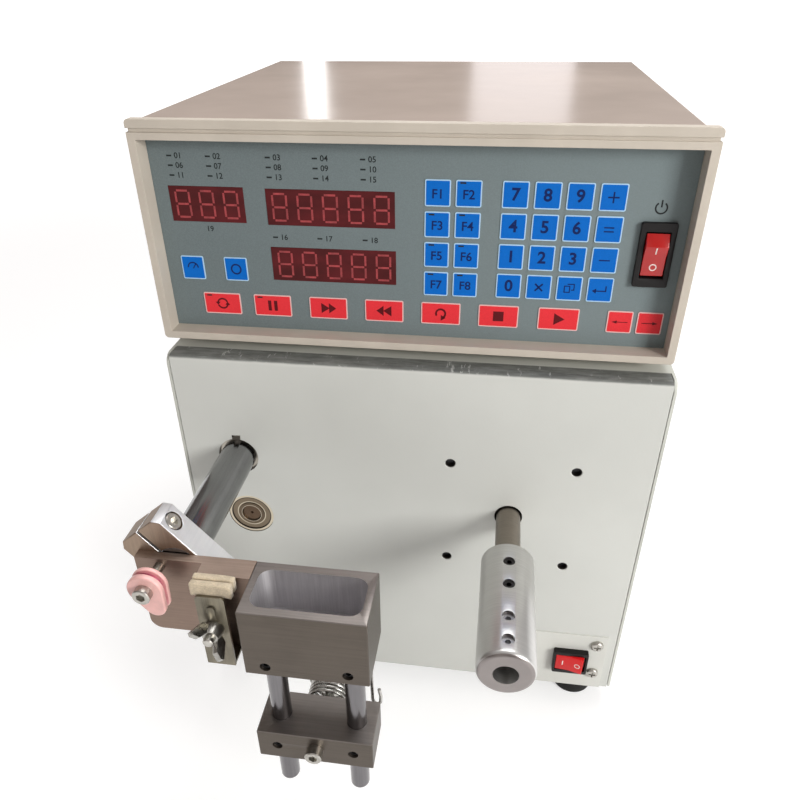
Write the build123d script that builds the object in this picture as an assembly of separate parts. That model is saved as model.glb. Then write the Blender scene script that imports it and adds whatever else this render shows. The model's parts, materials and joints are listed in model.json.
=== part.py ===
from build123d import *
from math import cos, sin, radians, sqrt, pi, hypot
import os

# Bench wire coil winder: a drive box with a spindle and a traversing wire guide, and a
# controller box that stands on it. Millimetres, +Z up, front faces -Y. The origin lies on
# the table, under the centre of the machine's bounding box.

# ---------------------------------------------------------------- driving dimensions
# Fits
running_gap = 0.05        # radial clearance of shafts in bearings and bushes
seat_gap = 0.1            # clearance of a part that drops into its cut-out
soft_gap = 0.3            # clearance round felt pads

# Drive box
body_width = 270.0
body_height = 232.0
body_depth = 250.0
front_thick = 12.0
front_edge_radius = 2.5
base_thick = 6.0
sheet = 1.5               # side, top and rear sheets
side_corner_radius = 6.0
side_stop = 1.0           # side sheets stop this far above the body's bottom edge
plate_gap = 0.4           # seen gap between the front plate and each side sheet
bar = 12.0                # square tie bars, front to rear
foot_diameter = 26.0
foot_height = 14.0
foot_inset_x = 22.7
foot_inset_y = 16.0

# Spindle and its motor
spindle_inset_x = 77.5    # spindle axis from the box's right side
spindle_z = 153.0
spindle_diameter = 14.0
spindle_hole = 16.0
sleeve_diameter = 28.0
sleeve_length = 74.0
sleeve_stand_off = 38.5   # visible shaft between the front plate and the sleeve
sleeve_bore = 12.0
sleeve_bore_depth = 40.0
sleeve_nose_radius = 3.0
sleeve_rear_chamfer = 1.0
sleeve_screw_diameter = 6.0
sleeve_screw_places = (14.0, 30.0, 51.0, 65.0)  # from the sleeve's rear end
shaft_screw_recess = 0.8
work_screw_recess = 2.2
motor_frame = 86.0
motor_bolt_square = 69.6
motor_bolt_diameter = 5.0
motor_bolt_recess = 3.5
motor_flange_thick = 12.0
motor_stator_length = 72.0
motor_bell_thick = 14.0
motor_wall = 14.0
motor_air_gap = 0.4
bearing_outer = 32.0
bearing_width = 9.0

# Traverse
traverse_inset_x = 33.5   # traverse shaft from the box's left side
traverse_z = 182.0
traverse_diameter = 20.0
traverse_tail = 124.0     # how far the shaft reaches behind the front face
traverse_out = 20.0       # travel forwards from rest
carriage_tail = 2.0       # shaft left behind the carriage
bracket_run = 4.0         # carriage to drive bracket at the rear end of the travel
stepper_room = 4.5        # stepper motor to rear sheet
front_ring_hole = 23.6
ring_notch = 5.0
bush_diameter = 32.0
bush_length = 70.0
bush_lip = 2.0            # front plate left in front of the bush
bush_flange_diameter = 50.0
bush_flange_thick = 6.0
screw_offset_x = 2.5      # lead screw to the right of the traverse shaft
screw_z = 138.5
screw_diameter = 12.0
screw_bearing_outer = 28.0
screw_bearing_width = 8.0
nut_diameter = 20.0
nut_flange_diameter = 28.0
nut_flange_thick = 5.0
carriage_width = 38.0
carriage_thick = 25.0
carriage_margin = 10.0
stepper_frame = 57.0
stepper_length = 50.0
stepper_shaft = 8.0
bracket_thick = 8.0
bracket_width = 72.0
bracket_foot = 30.0

# Switch plate on the front
plate_inset_x = 7.0       # switch plate from the box's right side
plate_width = 81.5
plate_top_z = 61.5
plate_thick = 1.0
plate_screw_inset = 6.5
plate_screw_upper_z = 54.0
plate_screw_lower_z = 28.3
stop_inset_x = 29.0       # stop switch from the box's right side
stop_z = 39.0
stop_width = 22.0
stop_height = 19.0
stop_rim = 4.0
stop_rocker_width = 18.5
stop_rocker_height = 13.0
stop_crest = 0.92         # raised edge of the rocker, as a share of its half length
power_crest = 0.52
rocker_tilt = 9.0
rocker_lift = 2.6         # rocker's raised edge ahead of the housing
rocker_dip = 1.2
rocker_thick = 6.0
switch_body_depth = 18.0

# Wire guide, measured from the front face
clamp_back = 77.0
clamp_thick = 15.0
clamp_upper = 12.5        # from the shaft's axis to the bright face
clamp_lower = 16.0        # from the shaft's axis to the lower face
clamp_angle = -50.0       # the arm slopes down to the right
clamp_end = 25.0          # from the shaft to the slotted end
clamp_reach = 42.0        # from the shaft to the far end
clamp_chamfer = 3.2
clamp_slot = 1.6
clamp_slot_drop = 1.2     # slot's middle below the shaft's axis
clamp_screw_place = 16.5
guide_offset_x = 18.5     # guide plate's left end from the traverse shaft
guide_width = 59.0
guide_thick = 5.0
guide_top_z = 189.0
guide_bottom_z = 141.5
guide_corner_radius = 6.0
pad_block_width = 25.4
pad_block_thick = 7.0
cup_width = 58.2
cup_depth = 32.5
cup_height = 39.5
cup_wall_side = 3.6
cup_wall_front = 4.5
cup_wall_back = 4.8
cup_corner_radius = 6.0
cup_pocket_depth = 24.0
edge_break = 0.4
rod_diameter = 10.0
rod_spacing = 38.4
rod_back = 12.5           # rod axes behind the cup's front face
rod_seat_depth = 13.0
rod_end_z = 55.0
rod_round = 1.6
set_screw_diameter = 5.0
set_screw_recess = 1.5
cup_set_screw_rise = 5.6
lower_height = 19.0
lower_depth = 25.0
lower_top_z = 106.0
cap_head_diameter = 8.5
cap_head_height = 5.0
m5 = 5.0
hex_socket = 4.0
spring_diameter = 22.0
spring_wire = 1.6
spring_turns = 6
spring_length = 16.0
disc_diameter = 26.0
disc_thick = 2.0
lock_nut_flats = 8.0
lock_nut_thick = 4.0
screw_tail = 2.0
lower_travel_up = 30.0
lower_travel_down = 20.0

# Grooved guide shoe
shoe_inset_x = 12.0       # from the guide plate's left end
shoe_z = 184.5
shoe_radius = 8.6
shoe_tail_radius = 5.0
shoe_tail_length = 10.6
shoe_tail_angle = -72.0
shoe_stand_off = 9.5
shoe_rear_flange = 2.2
shoe_groove_width = 2.3
shoe_front_flange = 3.0
shoe_groove_depth = 2.6
shoe_head_height = 4.0

# Felt clamp
felt_inset_x = 26.0       # felts' left end from the guide plate's right end
felt_width = 20.0
felt_thick = 4.1
felt_height = 7.5
felt_rise = 2.0           # felts stand this far above the guide plate
press_inset_x = 16.1      # from the guide plate's right end
press_width = 14.0
press_thick = 1.4
press_top_z = 185.5
press_bottom_z = 141.0
press_open = 2.0
stud_z = 166.0
bump_rise = 9.5           # pressed bump above the stud
bump_length = 9.0
bump_width = 4.0
bump_height = 0.8
wing_hub = 9.0
wing_hub_length = 6.0
wing_reach = 10.5
wing_rise = 9.0
wing_thick = 3.0
wing_width = 7.5
wing_angle = 127.0

# Controller
case_gap = 6.5            # height of the controller's feet
bezel_width = 269.6
bezel_height = 112.3
bezel_depth = 21.0
bezel_lip = 5.0           # full outline ahead of the top cover
bezel_step = 4.5          # drop of the bezel's shoulders behind the lip
bezel_shift_x = -2.2
bezel_set_back = 8.5
case_depth = 246.5
bezel_side = 4.0
bezel_bottom = 4.0
bezel_top = 9.3
bezel_groove = 1.0
groove_low_z = 106.4
groove_high_z = 108.2
bezel_corner = 2.0
panel_recess = 10.5
panel_thick = 2.0
cover_inset = 6.5
cover_drop = 0.0
case_foot_diameter = 18.0

# Panel: places are measured from the bezel's lower left corner
key_pitch_x = 15.0
key_pitch_z = 15.1
key_rise = 0.4
number_key = (12.4, 12.7)
column_widths = (39.0, 65.2, 27.2, 57.4, 16.6)      # windows, windows, functions, numbers, power
column_gaps = (11.7, 11.3, 14.3, 9.6, 8.2, 9.1)     # shares of the width that is left
number_z = 79.5
function_pitch = (14.8, 15.2)
function_z = 79.4
pair_inset = 0.4          # left key of the pair from the left window's left edge
pair_pitch = 23.7
pair_z = 37.2
red_key = (20.5, 12.0)
red_key_z = 17.5
red_key_count = 7
arrow_key = (12.5, 11.8)
row_gaps = (21.65, 7.6, 10.1, 9.6, 9.4, 9.4, 10.0, 14.0, 2.2, 7.15)   # shares of the rest
window_thick = 0.8
window_proud = 0.2
left_window_z = (61.8, 79.6)
upper_window_z = (61.3, 79.3)
lower_window_z = (32.1, 49.9)
upper_window_short = 0.3
power_z = 53.1
power_width = 16.6
power_height = 31.6
power_rim = 2.4
power_rocker_width = 10.6
power_rocker_height = 22.0

# Electrical parts
socket_diameter = 16.0
socket_length = 12.0
rear_fitting = 3.0        # inlet lip and socket nuts behind a rear panel
inlet_width = 27.0
inlet_height = 20.0
inlet_flange = 48.0
inlet_cavity = 16.0
inlet_depth = 22.0        # inlet body ahead of the rear panel's outer face
rear_item_inset = 60.0    # inlet and socket from the bezel's ends
rear_item_rise = 32.0
box_socket_rise = 40.0
board_thick = 1.6
board_rise = 8.0
board_left_room = 100.0
board_right_room = 15.0
board_front_room = 20.0
board_rear_room = 70.0
pillar_diameter = 6.0
transformer_size = (78.0, 62.0, 66.0)
transformer_left_room = 12.0
transformer_front_room = 40.0
tray_rise = 2.0           # tray above the bezel's lower edge
vent_count = 12
vent_pitch = 7.0
vent_width = 3.0
vent_rear_room = 30.0
vent_low = 30.0
vent_high = 70.0
case_foot_side_room = 25.0
case_foot_front_room = 12.0

# ---------------------------------------------------------------- derived places
body_z0 = foot_height
body_z1 = foot_height + body_height
case_z0 = body_z1 + case_gap
case_z1 = case_z0 + bezel_height
guide_face = clamp_back + clamp_thick            # guide plate's back, ahead of the front face
cup_face = guide_face + cup_depth
reach_front = cup_face + cap_head_height         # furthest point ahead of the front face
reach_rear = bezel_set_back + case_depth + rear_fitting
front_y = (reach_front - reach_rear) / 2         # Y of the drive box's front face
half_body = body_width / 2
spindle_x = half_body - spindle_inset_x
traverse_x = traverse_inset_x - half_body
screw_x = traverse_x + screw_offset_x
stop_x = half_body - stop_inset_x
plate_right_x = half_body - plate_inset_x
plate_left_x = plate_right_x - plate_width
guide_left_x = traverse_x - guide_offset_x
guide_right_x = guide_left_x + guide_width
pad_block_left_x = guide_right_x - pad_block_width
shoe_x = guide_left_x + shoe_inset_x
felt_left_x = guide_right_x - felt_inset_x
press_x = guide_right_x - press_inset_x
cup_x = guide_right_x + cup_width / 2
# Travel back from rest: what the box leaves behind the carriage.
traverse_in = (body_depth - sheet - stepper_room - stepper_length - bracket_thick - bracket_run
               - traverse_tail + carriage_tail)
case_x0 = bezel_shift_x - bezel_width / 2
case_front_y = front_y + bezel_set_back
panel_y = case_front_y + panel_recess
rod_y = front_y - cup_face + rod_back
lower_mid_z = lower_top_z - lower_height / 2
inner_width = body_width - 2 * sheet


# ---------------------------------------------------------------- helpers
def block(x0, x1, y0, y1, z0, z1):
    """Box given by its bounds."""
    centre = Pos((x0 + x1) / 2, (y0 + y1) / 2, (z0 + z1) / 2)
    return centre * Box(x1 - x0, y1 - y0, z1 - z0)


def rod_along_y(x, z, diameter, y0, y1):
    """Round bar along Y between y0 and y1."""
    return Pos(x, (y0 + y1) / 2, z) * Rot(90, 0, 0) * Cylinder(diameter / 2, y1 - y0)


def rod_along_z(x, y, diameter, z0, z1):
    """Round bar along Z between z0 and z1."""
    return Pos(x, y, (z0 + z1) / 2) * Cylinder(diameter / 2, z1 - z0)


def rod_along_x(y, z, diameter, x0, x1):
    """Round bar along X between x0 and x1."""
    return Pos((x0 + x1) / 2, y, z) * Rot(0, 90, 0) * Cylinder(diameter / 2, x1 - x0)


def hex_along_y(x, z, flats, y0, y1):
    """Hexagonal prism along Y, given across its flats."""
    face = RegularPolygon(flats / 2, 6, major_radius=False)
    return Plane((x, y1, z), z_dir=(0, -1, 0)) * extrude(face, y1 - y0)


def edges_along(part, axis):
    """Edges of a part that run parallel to an axis."""
    return part.edges().filter_by(axis)


def group(parts):
    """Several separate solids in one node."""
    return Compound(children=list(parts))


def save(name, shape):
    """Write one node."""
    export_step(shape, "parts/" + name + ".step")


def cap_screw(x, z, head_y, shank_end_y, diameter, head_diameter, head_height):
    """Socket head screw along Y; its head faces -Y and its underside lies at head_y."""
    head = rod_along_y(x, z, head_diameter, head_y - head_height, head_y)
    head = chamfer(head.edges().group_by(Axis.Y)[0], edge_break)
    head -= hex_along_y(x, z, hex_socket, head_y - head_height, head_y - head_height / 2)
    return head + rod_along_y(x, z, diameter, head_y, shank_end_y)


def pan_screw_y(x, z, seat_y, length, diameter):
    """Pan head screw along Y with a cross recess; the head stands in front of seat_y."""
    head = rod_along_y(x, z, diameter * 2, seat_y - diameter * 0.6, seat_y)
    head = fillet(head.edges().group_by(Axis.Y)[0], diameter * 0.45)
    slot_depth = diameter * 0.3
    for wide, tall in ((diameter * 1.1, diameter * 0.25), (diameter * 0.25, diameter * 1.1)):
        cut_y = seat_y - diameter * 0.6
        head -= block(x - wide / 2, x + wide / 2, cut_y, cut_y + slot_depth,
                      z - tall / 2, z + tall / 2)
    return head + rod_along_y(x, z, diameter, seat_y, seat_y + length)


def pan_screw_x(side, seat_x, y, z, length, diameter):
    """Pan head screw along X; side is -1 for a head that faces left, 1 for right."""
    screw = pan_screw_y(0, 0, 0, length, diameter)
    return Pos(seat_x, y, z) * Rot(0, 0, 90 * side) * screw


def ball_bearing(x, z, bore, outer, y0, y1):
    """Shielded ball bearing as one ring with a shield groove in each face."""
    ring = rod_along_y(x, z, outer, y0, y1) - rod_along_y(x, z, bore, y0, y1)
    mid = (bore + outer) / 2
    half = (outer - bore) / 8
    depth = 0.5
    for low, high in ((y0, y0 + depth), (y1 - depth, y1)):
        groove = rod_along_y(x, z, mid + 2 * half, low, high)
        groove -= rod_along_y(x, z, mid - 2 * half, low, high)
        ring -= groove
    return ring


# ---------------------------------------------------------------- drive box
def motor_hole_places():
    """Centres of the four spindle motor bolts."""
    half = motor_bolt_square / 2
    return [(spindle_x + sx * half, spindle_z + sz * half) for sx in (-1, 1) for sz in (-1, 1)]


def plate_screw_places():
    """Centres of the switch plate's four screws."""
    xs = (plate_left_x + plate_screw_inset, plate_right_x - plate_screw_inset)
    return [(x, z) for x in xs for z in (plate_screw_lower_z, plate_screw_upper_z)]


def make_front_plate():
    """Thick painted plate that carries the spindle motor, bush, bearing and switch."""
    half = inner_width / 2 - plate_gap
    back_y = front_y + front_thick
    plate = block(-half, half, front_y, back_y, body_z0, body_z1)
    top_front = plate.edges().filter_by(Axis.X).sort_by(Axis.Z)[-2:].sort_by(Axis.Y)[0]
    plate = fillet(top_front, front_edge_radius)
    plate -= rod_along_y(spindle_x, spindle_z, spindle_hole, front_y, back_y)
    for x, z in motor_hole_places():
        plate -= rod_along_y(x, z, motor_bolt_diameter + 2 * seat_gap, front_y, back_y)
        rim = Pos(x, front_y, z) * Rot(-90, 0, 0)
        plate -= rim * Cone(motor_bolt_diameter / 2 + 1.2, motor_bolt_diameter / 2, 2.4)
    plate -= rod_along_y(traverse_x, traverse_z, front_ring_hole, front_y, back_y)
    pocket = bush_diameter + 2 * seat_gap
    plate -= rod_along_y(traverse_x, traverse_z, pocket, front_y + bush_lip, back_y)
    notch_top = traverse_z + front_ring_hole / 2 + ring_notch / 2
    plate -= block(traverse_x - ring_notch / 2, traverse_x + ring_notch / 2, front_y,
                   front_y + bush_lip, traverse_z, notch_top)
    seat = screw_bearing_outer + 2 * seat_gap
    plate -= rod_along_y(screw_x, screw_z, seat, front_y, front_y + screw_bearing_width + 0.5)
    through = screw_bearing_outer - 4
    plate -= rod_along_y(screw_x, screw_z, through, front_y, back_y)
    wide = stop_width / 2 - 1.5
    tall = stop_height / 2 - 1.5
    plate -= block(stop_x - wide, stop_x + wide, front_y, back_y, stop_z - tall, stop_z + tall)
    for x, z in plate_screw_places():
        plate -= rod_along_y(x, z, 4.0 + 2 * seat_gap, front_y, back_y)
    return plate


def foot_places():
    """Centres of the four feet of the drive box."""
    half = body_width / 2 - foot_inset_x
    return [(sx * half, y) for sx in (-1, 1)
            for y in (front_y + foot_inset_y, front_y + body_depth - foot_inset_y)]


def make_base_plate():
    """Floor of the drive box, between the side sheets and behind the front plate."""
    half = inner_width / 2
    y0 = front_y + front_thick
    y1 = front_y + body_depth - sheet
    return block(-half, half, y0, y1, body_z0, body_z0 + base_thick)


def make_rear_panel():
    """Rear sheet with a louvred vent and the hole of the signal socket."""
    half = inner_width / 2
    y1 = front_y + body_depth
    y0 = y1 - sheet
    panel = block(-half, half, y0, y1, body_z0, body_z1)
    slots = 9
    for index in range(slots):
        x = spindle_x - 32 + index * 8
        slot = block(x - 1.5, x + 1.5, y0, y1, spindle_z - 25, spindle_z + 25)
        panel -= slot
    hole = socket_diameter + 2 * seat_gap
    panel -= rod_along_y(0, body_z0 + box_socket_rise, hole, y0, y1)
    return panel


def make_top_sheet():
    """Top sheet between the front plate and the rear panel."""
    half = inner_width / 2
    y0 = front_y + front_thick
    y1 = front_y + body_depth - sheet
    return block(-half, half, y0, y1, body_z1 - sheet, body_z1)


def make_side_sheets():
    """Two painted side sheets with rounded front top corners."""
    sheets = []
    for side in (-1, 1):
        x0, x1 = sorted((side * (body_width / 2 - sheet), side * body_width / 2))
        part = block(x0, x1, front_y, front_y + body_depth, body_z0 + side_stop, body_z1)
        corners = edges_along(part, Axis.X).sort_by(Axis.Z)[-2:]
        part = fillet(corners, side_corner_radius)
        for y, z in side_screw_places():
            part -= rod_along_x(y, z, 4.0 + 2 * seat_gap, x0, x1)
        sheets.append(part)
    return group(sheets)


def side_screw_places():
    """Y and Z of the side sheets' screws, which go into the tie bars."""
    low = body_z0 + base_thick + bar / 2
    high = body_z1 - sheet - bar / 2
    first = front_y + front_thick + 14
    last = front_y + body_depth - 20
    return [(first, high), (last, high), (first, low), (last, low)]


def make_tie_bars():
    """Four square bars that join the front plate to the rear panel."""
    bars = []
    y0 = front_y + front_thick
    y1 = front_y + body_depth - sheet
    outer = inner_width / 2
    for side in (-1, 1):
        x0, x1 = sorted((side * outer, side * (outer - bar)))
        for low in (body_z0 + base_thick, body_z1 - sheet - bar):
            part = block(x0, x1, y0, y1, low, low + bar)
            for y, z in side_screw_places():
                if low < z < low + bar:
                    inner, face = sorted((side * outer, side * (outer - 9)))
                    part -= rod_along_x(y, z, 4.0 + 2 * seat_gap, inner, face)
            bars.append(part)
    return group(bars)


def make_case_screws():
    """Pan head screws of the side sheets and of the switch plate."""
    screws = []
    for side in (-1, 1):
        for y, z in side_screw_places():
            screws.append(pan_screw_x(side, side * body_width / 2, y, z, 8.0, 4.0))
    for x, z in plate_screw_places():
        screws.append(pan_screw_y(x, z, front_y - plate_thick, 8.0, 4.0))
    return group(screws)


def make_rubber_feet():
    """Four rubber feet under the drive box."""
    feet = []
    for x, y in foot_places():
        foot = rod_along_z(x, y, foot_diameter, 0, foot_height)
        foot = fillet(foot.edges().group_by(Axis.Z)[0], 1.5)
        foot -= rod_along_z(x, y, 9.0, 0, 5.0)
        feet.append(foot)
    return group(feet)


def make_switch_plate():
    """Thin plate over the switch cut-out, with the switch and screw holes."""
    plate = block(plate_left_x, plate_right_x, front_y - plate_thick, front_y,
                  body_z0, plate_top_z)
    wide = stop_width / 2 - 1.5
    tall = stop_height / 2 - 1.5
    plate -= block(stop_x - wide, stop_x + wide, front_y - plate_thick, front_y,
                   stop_z - tall, stop_z + tall)
    for x, z in plate_screw_places():
        plate -= rod_along_y(x, z, 4.0 + 2 * seat_gap, front_y - plate_thick, front_y)
    return plate


# ---------------------------------------------------------------- rocker switches
def switch_housing(x, z, width, height, rim, seat_y, rocker_width, rocker_height):
    """Snap-in rocker switch housing with a hollow for its rocker."""
    front = seat_y - rim
    frame = block(x - width / 2, x + width / 2, front, seat_y, z - height / 2, z + height / 2)
    frame = fillet(edges_along(frame, Axis.Y), 1.2)
    wide = width / 2 - 1.5 - seat_gap
    tall = height / 2 - 1.5 - seat_gap
    body = block(x - wide, x + wide, seat_y, seat_y + switch_body_depth, z - tall, z + tall)
    hollow = block(x - rocker_width / 2 - 0.4, x + rocker_width / 2 + 0.4, front,
                   seat_y + rocker_thick, z - rocker_height / 2 - 0.4,
                   z + rocker_height / 2 + 0.4)
    lugs = []
    for offset in (-wide / 2, wide / 2):
        lugs.append(block(x + offset - 2, x + offset + 2, seat_y + switch_body_depth,
                          seat_y + switch_body_depth + 7, z - 0.4, z + 0.4))
    return (frame + body) - hollow + lugs


def rocker_upright(x, z, seat_y, rim, width, height, crest):
    """Rocker that tips about X, its lower half pressed in; its ends slope back to the housing."""
    pivot_y = seat_y + 1.0
    brow = rim / 2
    lift = rim + rocker_lift
    tilt = radians(rocker_tilt)
    half = (height / 2 + 0.2 - brow * sin(tilt)) / cos(tilt)
    with BuildPart() as maker:
        with BuildSketch(Plane.YZ):
            with BuildLine():
                Polyline((pivot_y - brow, half), (pivot_y - lift, half * crest),
                         (pivot_y - lift + rocker_dip, 0.0),
                         (pivot_y - lift + rocker_dip / 2, -half * max(crest, 0.85)),
                         (pivot_y - brow, -half), (pivot_y + 0.5, -half * 0.75),
                         (pivot_y + 2.0, 0.0), (pivot_y + 0.5, half * 0.75), close=True)
            make_face()
        extrude(amount=width / 2, both=True)
    blank = maker.part
    turned = Pos(0, pivot_y, 0) * Rot(rocker_tilt, 0, 0) * Pos(0, -pivot_y, 0) * blank
    return Pos(x, 0, z) * turned


def rocker_sideways(x, z, seat_y, rim, width, height, crest):
    """Rocker that tips about Z, its left half pressed in."""
    blank = rocker_upright(0, 0, seat_y, rim, height, width, crest)
    return Pos(x, 0, z) * Rot(0, 90, 0) * blank


# ---------------------------------------------------------------- spindle
def sleeve_back_y():
    """Rear end of the sleeve."""
    return front_y - sleeve_stand_off


def make_spindle_shaft():
    """Motor shaft: runs through both bearings and carries the sleeve."""
    nose = sleeve_back_y() - (sleeve_length - sleeve_bore_depth) + 0.5
    tail = front_y + front_thick + motor_flange_thick + motor_stator_length + motor_bell_thick
    shaft = rod_along_y(spindle_x, spindle_z, spindle_diameter, nose, tail - 3)
    return chamfer(shaft.edges().group_by(Axis.Y)[0], 0.4)


def make_spindle_sleeve():
    """Bare aluminium sleeve: blind rear bore on the shaft, work bore in front."""
    back = sleeve_back_y()
    nose = back - sleeve_length
    sleeve = rod_along_y(spindle_x, spindle_z, sleeve_diameter, nose, back)
    sleeve = fillet(sleeve.edges().group_by(Axis.Y)[0], sleeve_nose_radius)
    sleeve = chamfer(sleeve.edges().group_by(Axis.Y)[-1], sleeve_rear_chamfer)
    rear_bore = spindle_diameter + 2 * seat_gap
    split = nose + sleeve_bore_depth
    sleeve -= rod_along_y(spindle_x, spindle_z, rear_bore, split, back)
    sleeve -= rod_along_y(spindle_x, spindle_z, sleeve_bore, nose, split)
    for place in sleeve_screw_places:
        sleeve -= rod_along_z(spindle_x, back - place, sleeve_screw_diameter + 2 * running_gap,
                              spindle_z, spindle_z + sleeve_diameter)
    return sleeve


def make_sleeve_screws():
    """Set screws in the sleeve: two on the shaft, two on the work arbor's seat."""
    screws = []
    for place, seat in zip(sleeve_screw_places, (True, True, False, False)):
        y = sleeve_back_y() - place
        bore = spindle_diameter / 2 + seat_gap if seat else sleeve_bore / 2
        low = spindle_z + bore + 0.1
        recess = shaft_screw_recess if seat else work_screw_recess
        high = spindle_z + sleeve_diameter / 2 - recess
        screw = rod_along_z(spindle_x, y, sleeve_screw_diameter, low, high)
        socket = Pos(spindle_x, y, high - 2) * extrude(RegularPolygon(1.5, 6), 2)
        screws.append(screw - socket)
    return group(screws)


def motor_square(y0, y1):
    """Square motor slab with cut corners."""
    half = motor_frame / 2
    slab = block(spindle_x - half, spindle_x + half, y0, y1, spindle_z - half, spindle_z + half)
    return chamfer(edges_along(slab, Axis.Y), 6.0)


def motor_planes():
    """Front and rear Y of flange, stator and bell."""
    a = front_y + front_thick
    b = a + motor_flange_thick
    c = b + motor_stator_length
    return a, b, c, c + motor_bell_thick


def make_motor_flange():
    """Front end shield of the spindle motor, with the front bearing's seat."""
    a, b, _, _ = motor_planes()
    part = motor_square(a, b)
    part -= rod_along_y(spindle_x, spindle_z, spindle_hole, a, b)
    part -= rod_along_y(spindle_x, spindle_z, bearing_outer + 2 * running_gap,
                        b - bearing_width, b)
    for x, z in motor_hole_places():
        part -= rod_along_y(x, z, motor_bolt_diameter + 2 * running_gap, a, b)
    return part


def make_motor_stator():
    """Stator stack of the spindle motor, hollow for the rotor."""
    _, b, c, _ = motor_planes()
    part = motor_square(b, c)
    part -= rod_along_y(spindle_x, spindle_z, motor_frame - 2 * motor_wall, b, c)
    return part


def make_motor_bell():
    """Rear end shield of the spindle motor."""
    _, _, c, d = motor_planes()
    part = motor_square(c, d)
    part -= rod_along_y(spindle_x, spindle_z, bearing_outer + 2 * running_gap,
                        c, c + bearing_width)
    part -= rod_along_y(spindle_x, spindle_z, spindle_hole, c, d - 2)
    return part


def make_motor_rotor():
    """Rotor core on the spindle shaft."""
    _, b, c, _ = motor_planes()
    outer = motor_frame - 2 * motor_wall - 2 * motor_air_gap
    core = rod_along_y(spindle_x, spindle_z, outer, b + 8, c - 8)
    return core - rod_along_y(spindle_x, spindle_z, spindle_diameter, b + 8, c - 8)


def make_motor_bolts():
    """Bolts of the spindle motor: headless, sunk below the front face."""
    _, b, _, _ = motor_planes()
    return group(rod_along_y(x, z, motor_bolt_diameter, front_y + motor_bolt_recess, b)
                 for x, z in motor_hole_places())


def make_ball_bearings():
    """Spindle bearings and the lead screw's front bearing."""
    _, b, c, _ = motor_planes()
    bore = spindle_diameter + 2 * running_gap
    front = ball_bearing(spindle_x, spindle_z, bore, bearing_outer, b - bearing_width, b)
    rear = ball_bearing(spindle_x, spindle_z, bore, bearing_outer, c, c + bearing_width)
    y0 = front_y + 0.5
    screw = ball_bearing(screw_x, screw_z, screw_diameter + 2 * running_gap,
                         screw_bearing_outer, y0, y0 + screw_bearing_width)
    return group([front, rear, screw])


# ---------------------------------------------------------------- traverse
def carriage_front_y():
    """Front face of the carriage at rest."""
    return front_y + traverse_tail - carriage_thick - carriage_tail


def make_traverse_shaft():
    """Polished shaft that carries the wire guide."""
    shaft = rod_along_y(traverse_x, traverse_z, traverse_diameter, front_y - guide_face + 0.5,
                        front_y + traverse_tail)
    return chamfer(shaft.edges().group_by(Axis.Y)[0], 0.5)


def make_linear_bush():
    """Flanged double-length linear bush behind the front plate."""
    y0 = front_y + bush_lip
    bush = rod_along_y(traverse_x, traverse_z, bush_diameter, y0, y0 + bush_length)
    flange_y = front_y + front_thick
    bush += rod_along_y(traverse_x, traverse_z, bush_flange_diameter, flange_y,
                        flange_y + bush_flange_thick)
    bore = traverse_diameter + 2 * running_gap
    return bush - rod_along_y(traverse_x, traverse_z, bore, y0, y0 + bush_length)


def make_carriage():
    """Block that joins the traverse shaft to the lead nut."""
    y0 = carriage_front_y()
    y1 = y0 + carriage_thick
    mid_x = (traverse_x + screw_x) / 2
    half = carriage_width / 2
    part = block(mid_x - half, mid_x + half, y0, y1, screw_z - nut_diameter / 2 - carriage_margin,
                 traverse_z + traverse_diameter / 2 + carriage_margin)
    part = fillet(edges_along(part, Axis.Y), 4.0)
    part -= rod_along_y(traverse_x, traverse_z, traverse_diameter + 2 * running_gap, y0, y1)
    part -= rod_along_y(screw_x, screw_z, nut_diameter + 2 * running_gap, y0, y1)
    return part


def make_lead_nut():
    """Flanged bronze nut in the carriage."""
    y0 = carriage_front_y()
    nut = rod_along_y(screw_x, screw_z, nut_diameter, y0, y0 + carriage_thick)
    nut += rod_along_y(screw_x, screw_z, nut_flange_diameter, y0 - nut_flange_thick, y0)
    bore = screw_diameter + 2 * running_gap
    return nut - rod_along_y(screw_x, screw_z, bore, y0 - nut_flange_thick, y0 + carriage_thick)


def bracket_front_y():
    """Front face of the drive bracket, clear of the carriage's rearmost place."""
    return carriage_front_y() + carriage_thick + traverse_in + bracket_run


def make_lead_screw():
    """Lead screw, one piece with the stepper motor's shaft."""
    y0 = front_y + 1.5
    y1 = bracket_front_y() - 2
    tail = bracket_front_y() + bracket_thick + stepper_length - 5
    screw = rod_along_y(screw_x, screw_z, screw_diameter, y0, y1)
    screw = chamfer(screw.edges().group_by(Axis.Y)[0], 0.6)
    screw -= Pos(screw_x, y0, screw_z) * Rot(-90, 0, 0) * Cone(1.6, 0.2, 3.0)
    return screw + rod_along_y(screw_x, screw_z, stepper_shaft, y1, tail)


def make_drive_bracket():
    """Upright plate on the floor that carries the stepper motor."""
    y0 = bracket_front_y()
    y1 = y0 + bracket_thick
    half = bracket_width / 2
    top = screw_z + stepper_frame / 2
    left = screw_x - stepper_frame / 2
    floor = body_z0 + base_thick
    plate = block(left, screw_x + half, y0, y1, floor, top)
    bar_side = bar - inner_width / 2 + 1
    plate -= block(bar_side - bar - 1, bar_side, y0, y1, floor, floor + bar + 1)
    hole = stepper_shaft + 4
    plate -= rod_along_y(screw_x, screw_z, hole, y0, y1)
    foot = block(screw_x, screw_x + half, y0 - bracket_foot, y0, floor, floor + bracket_thick)
    return plate + foot


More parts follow.
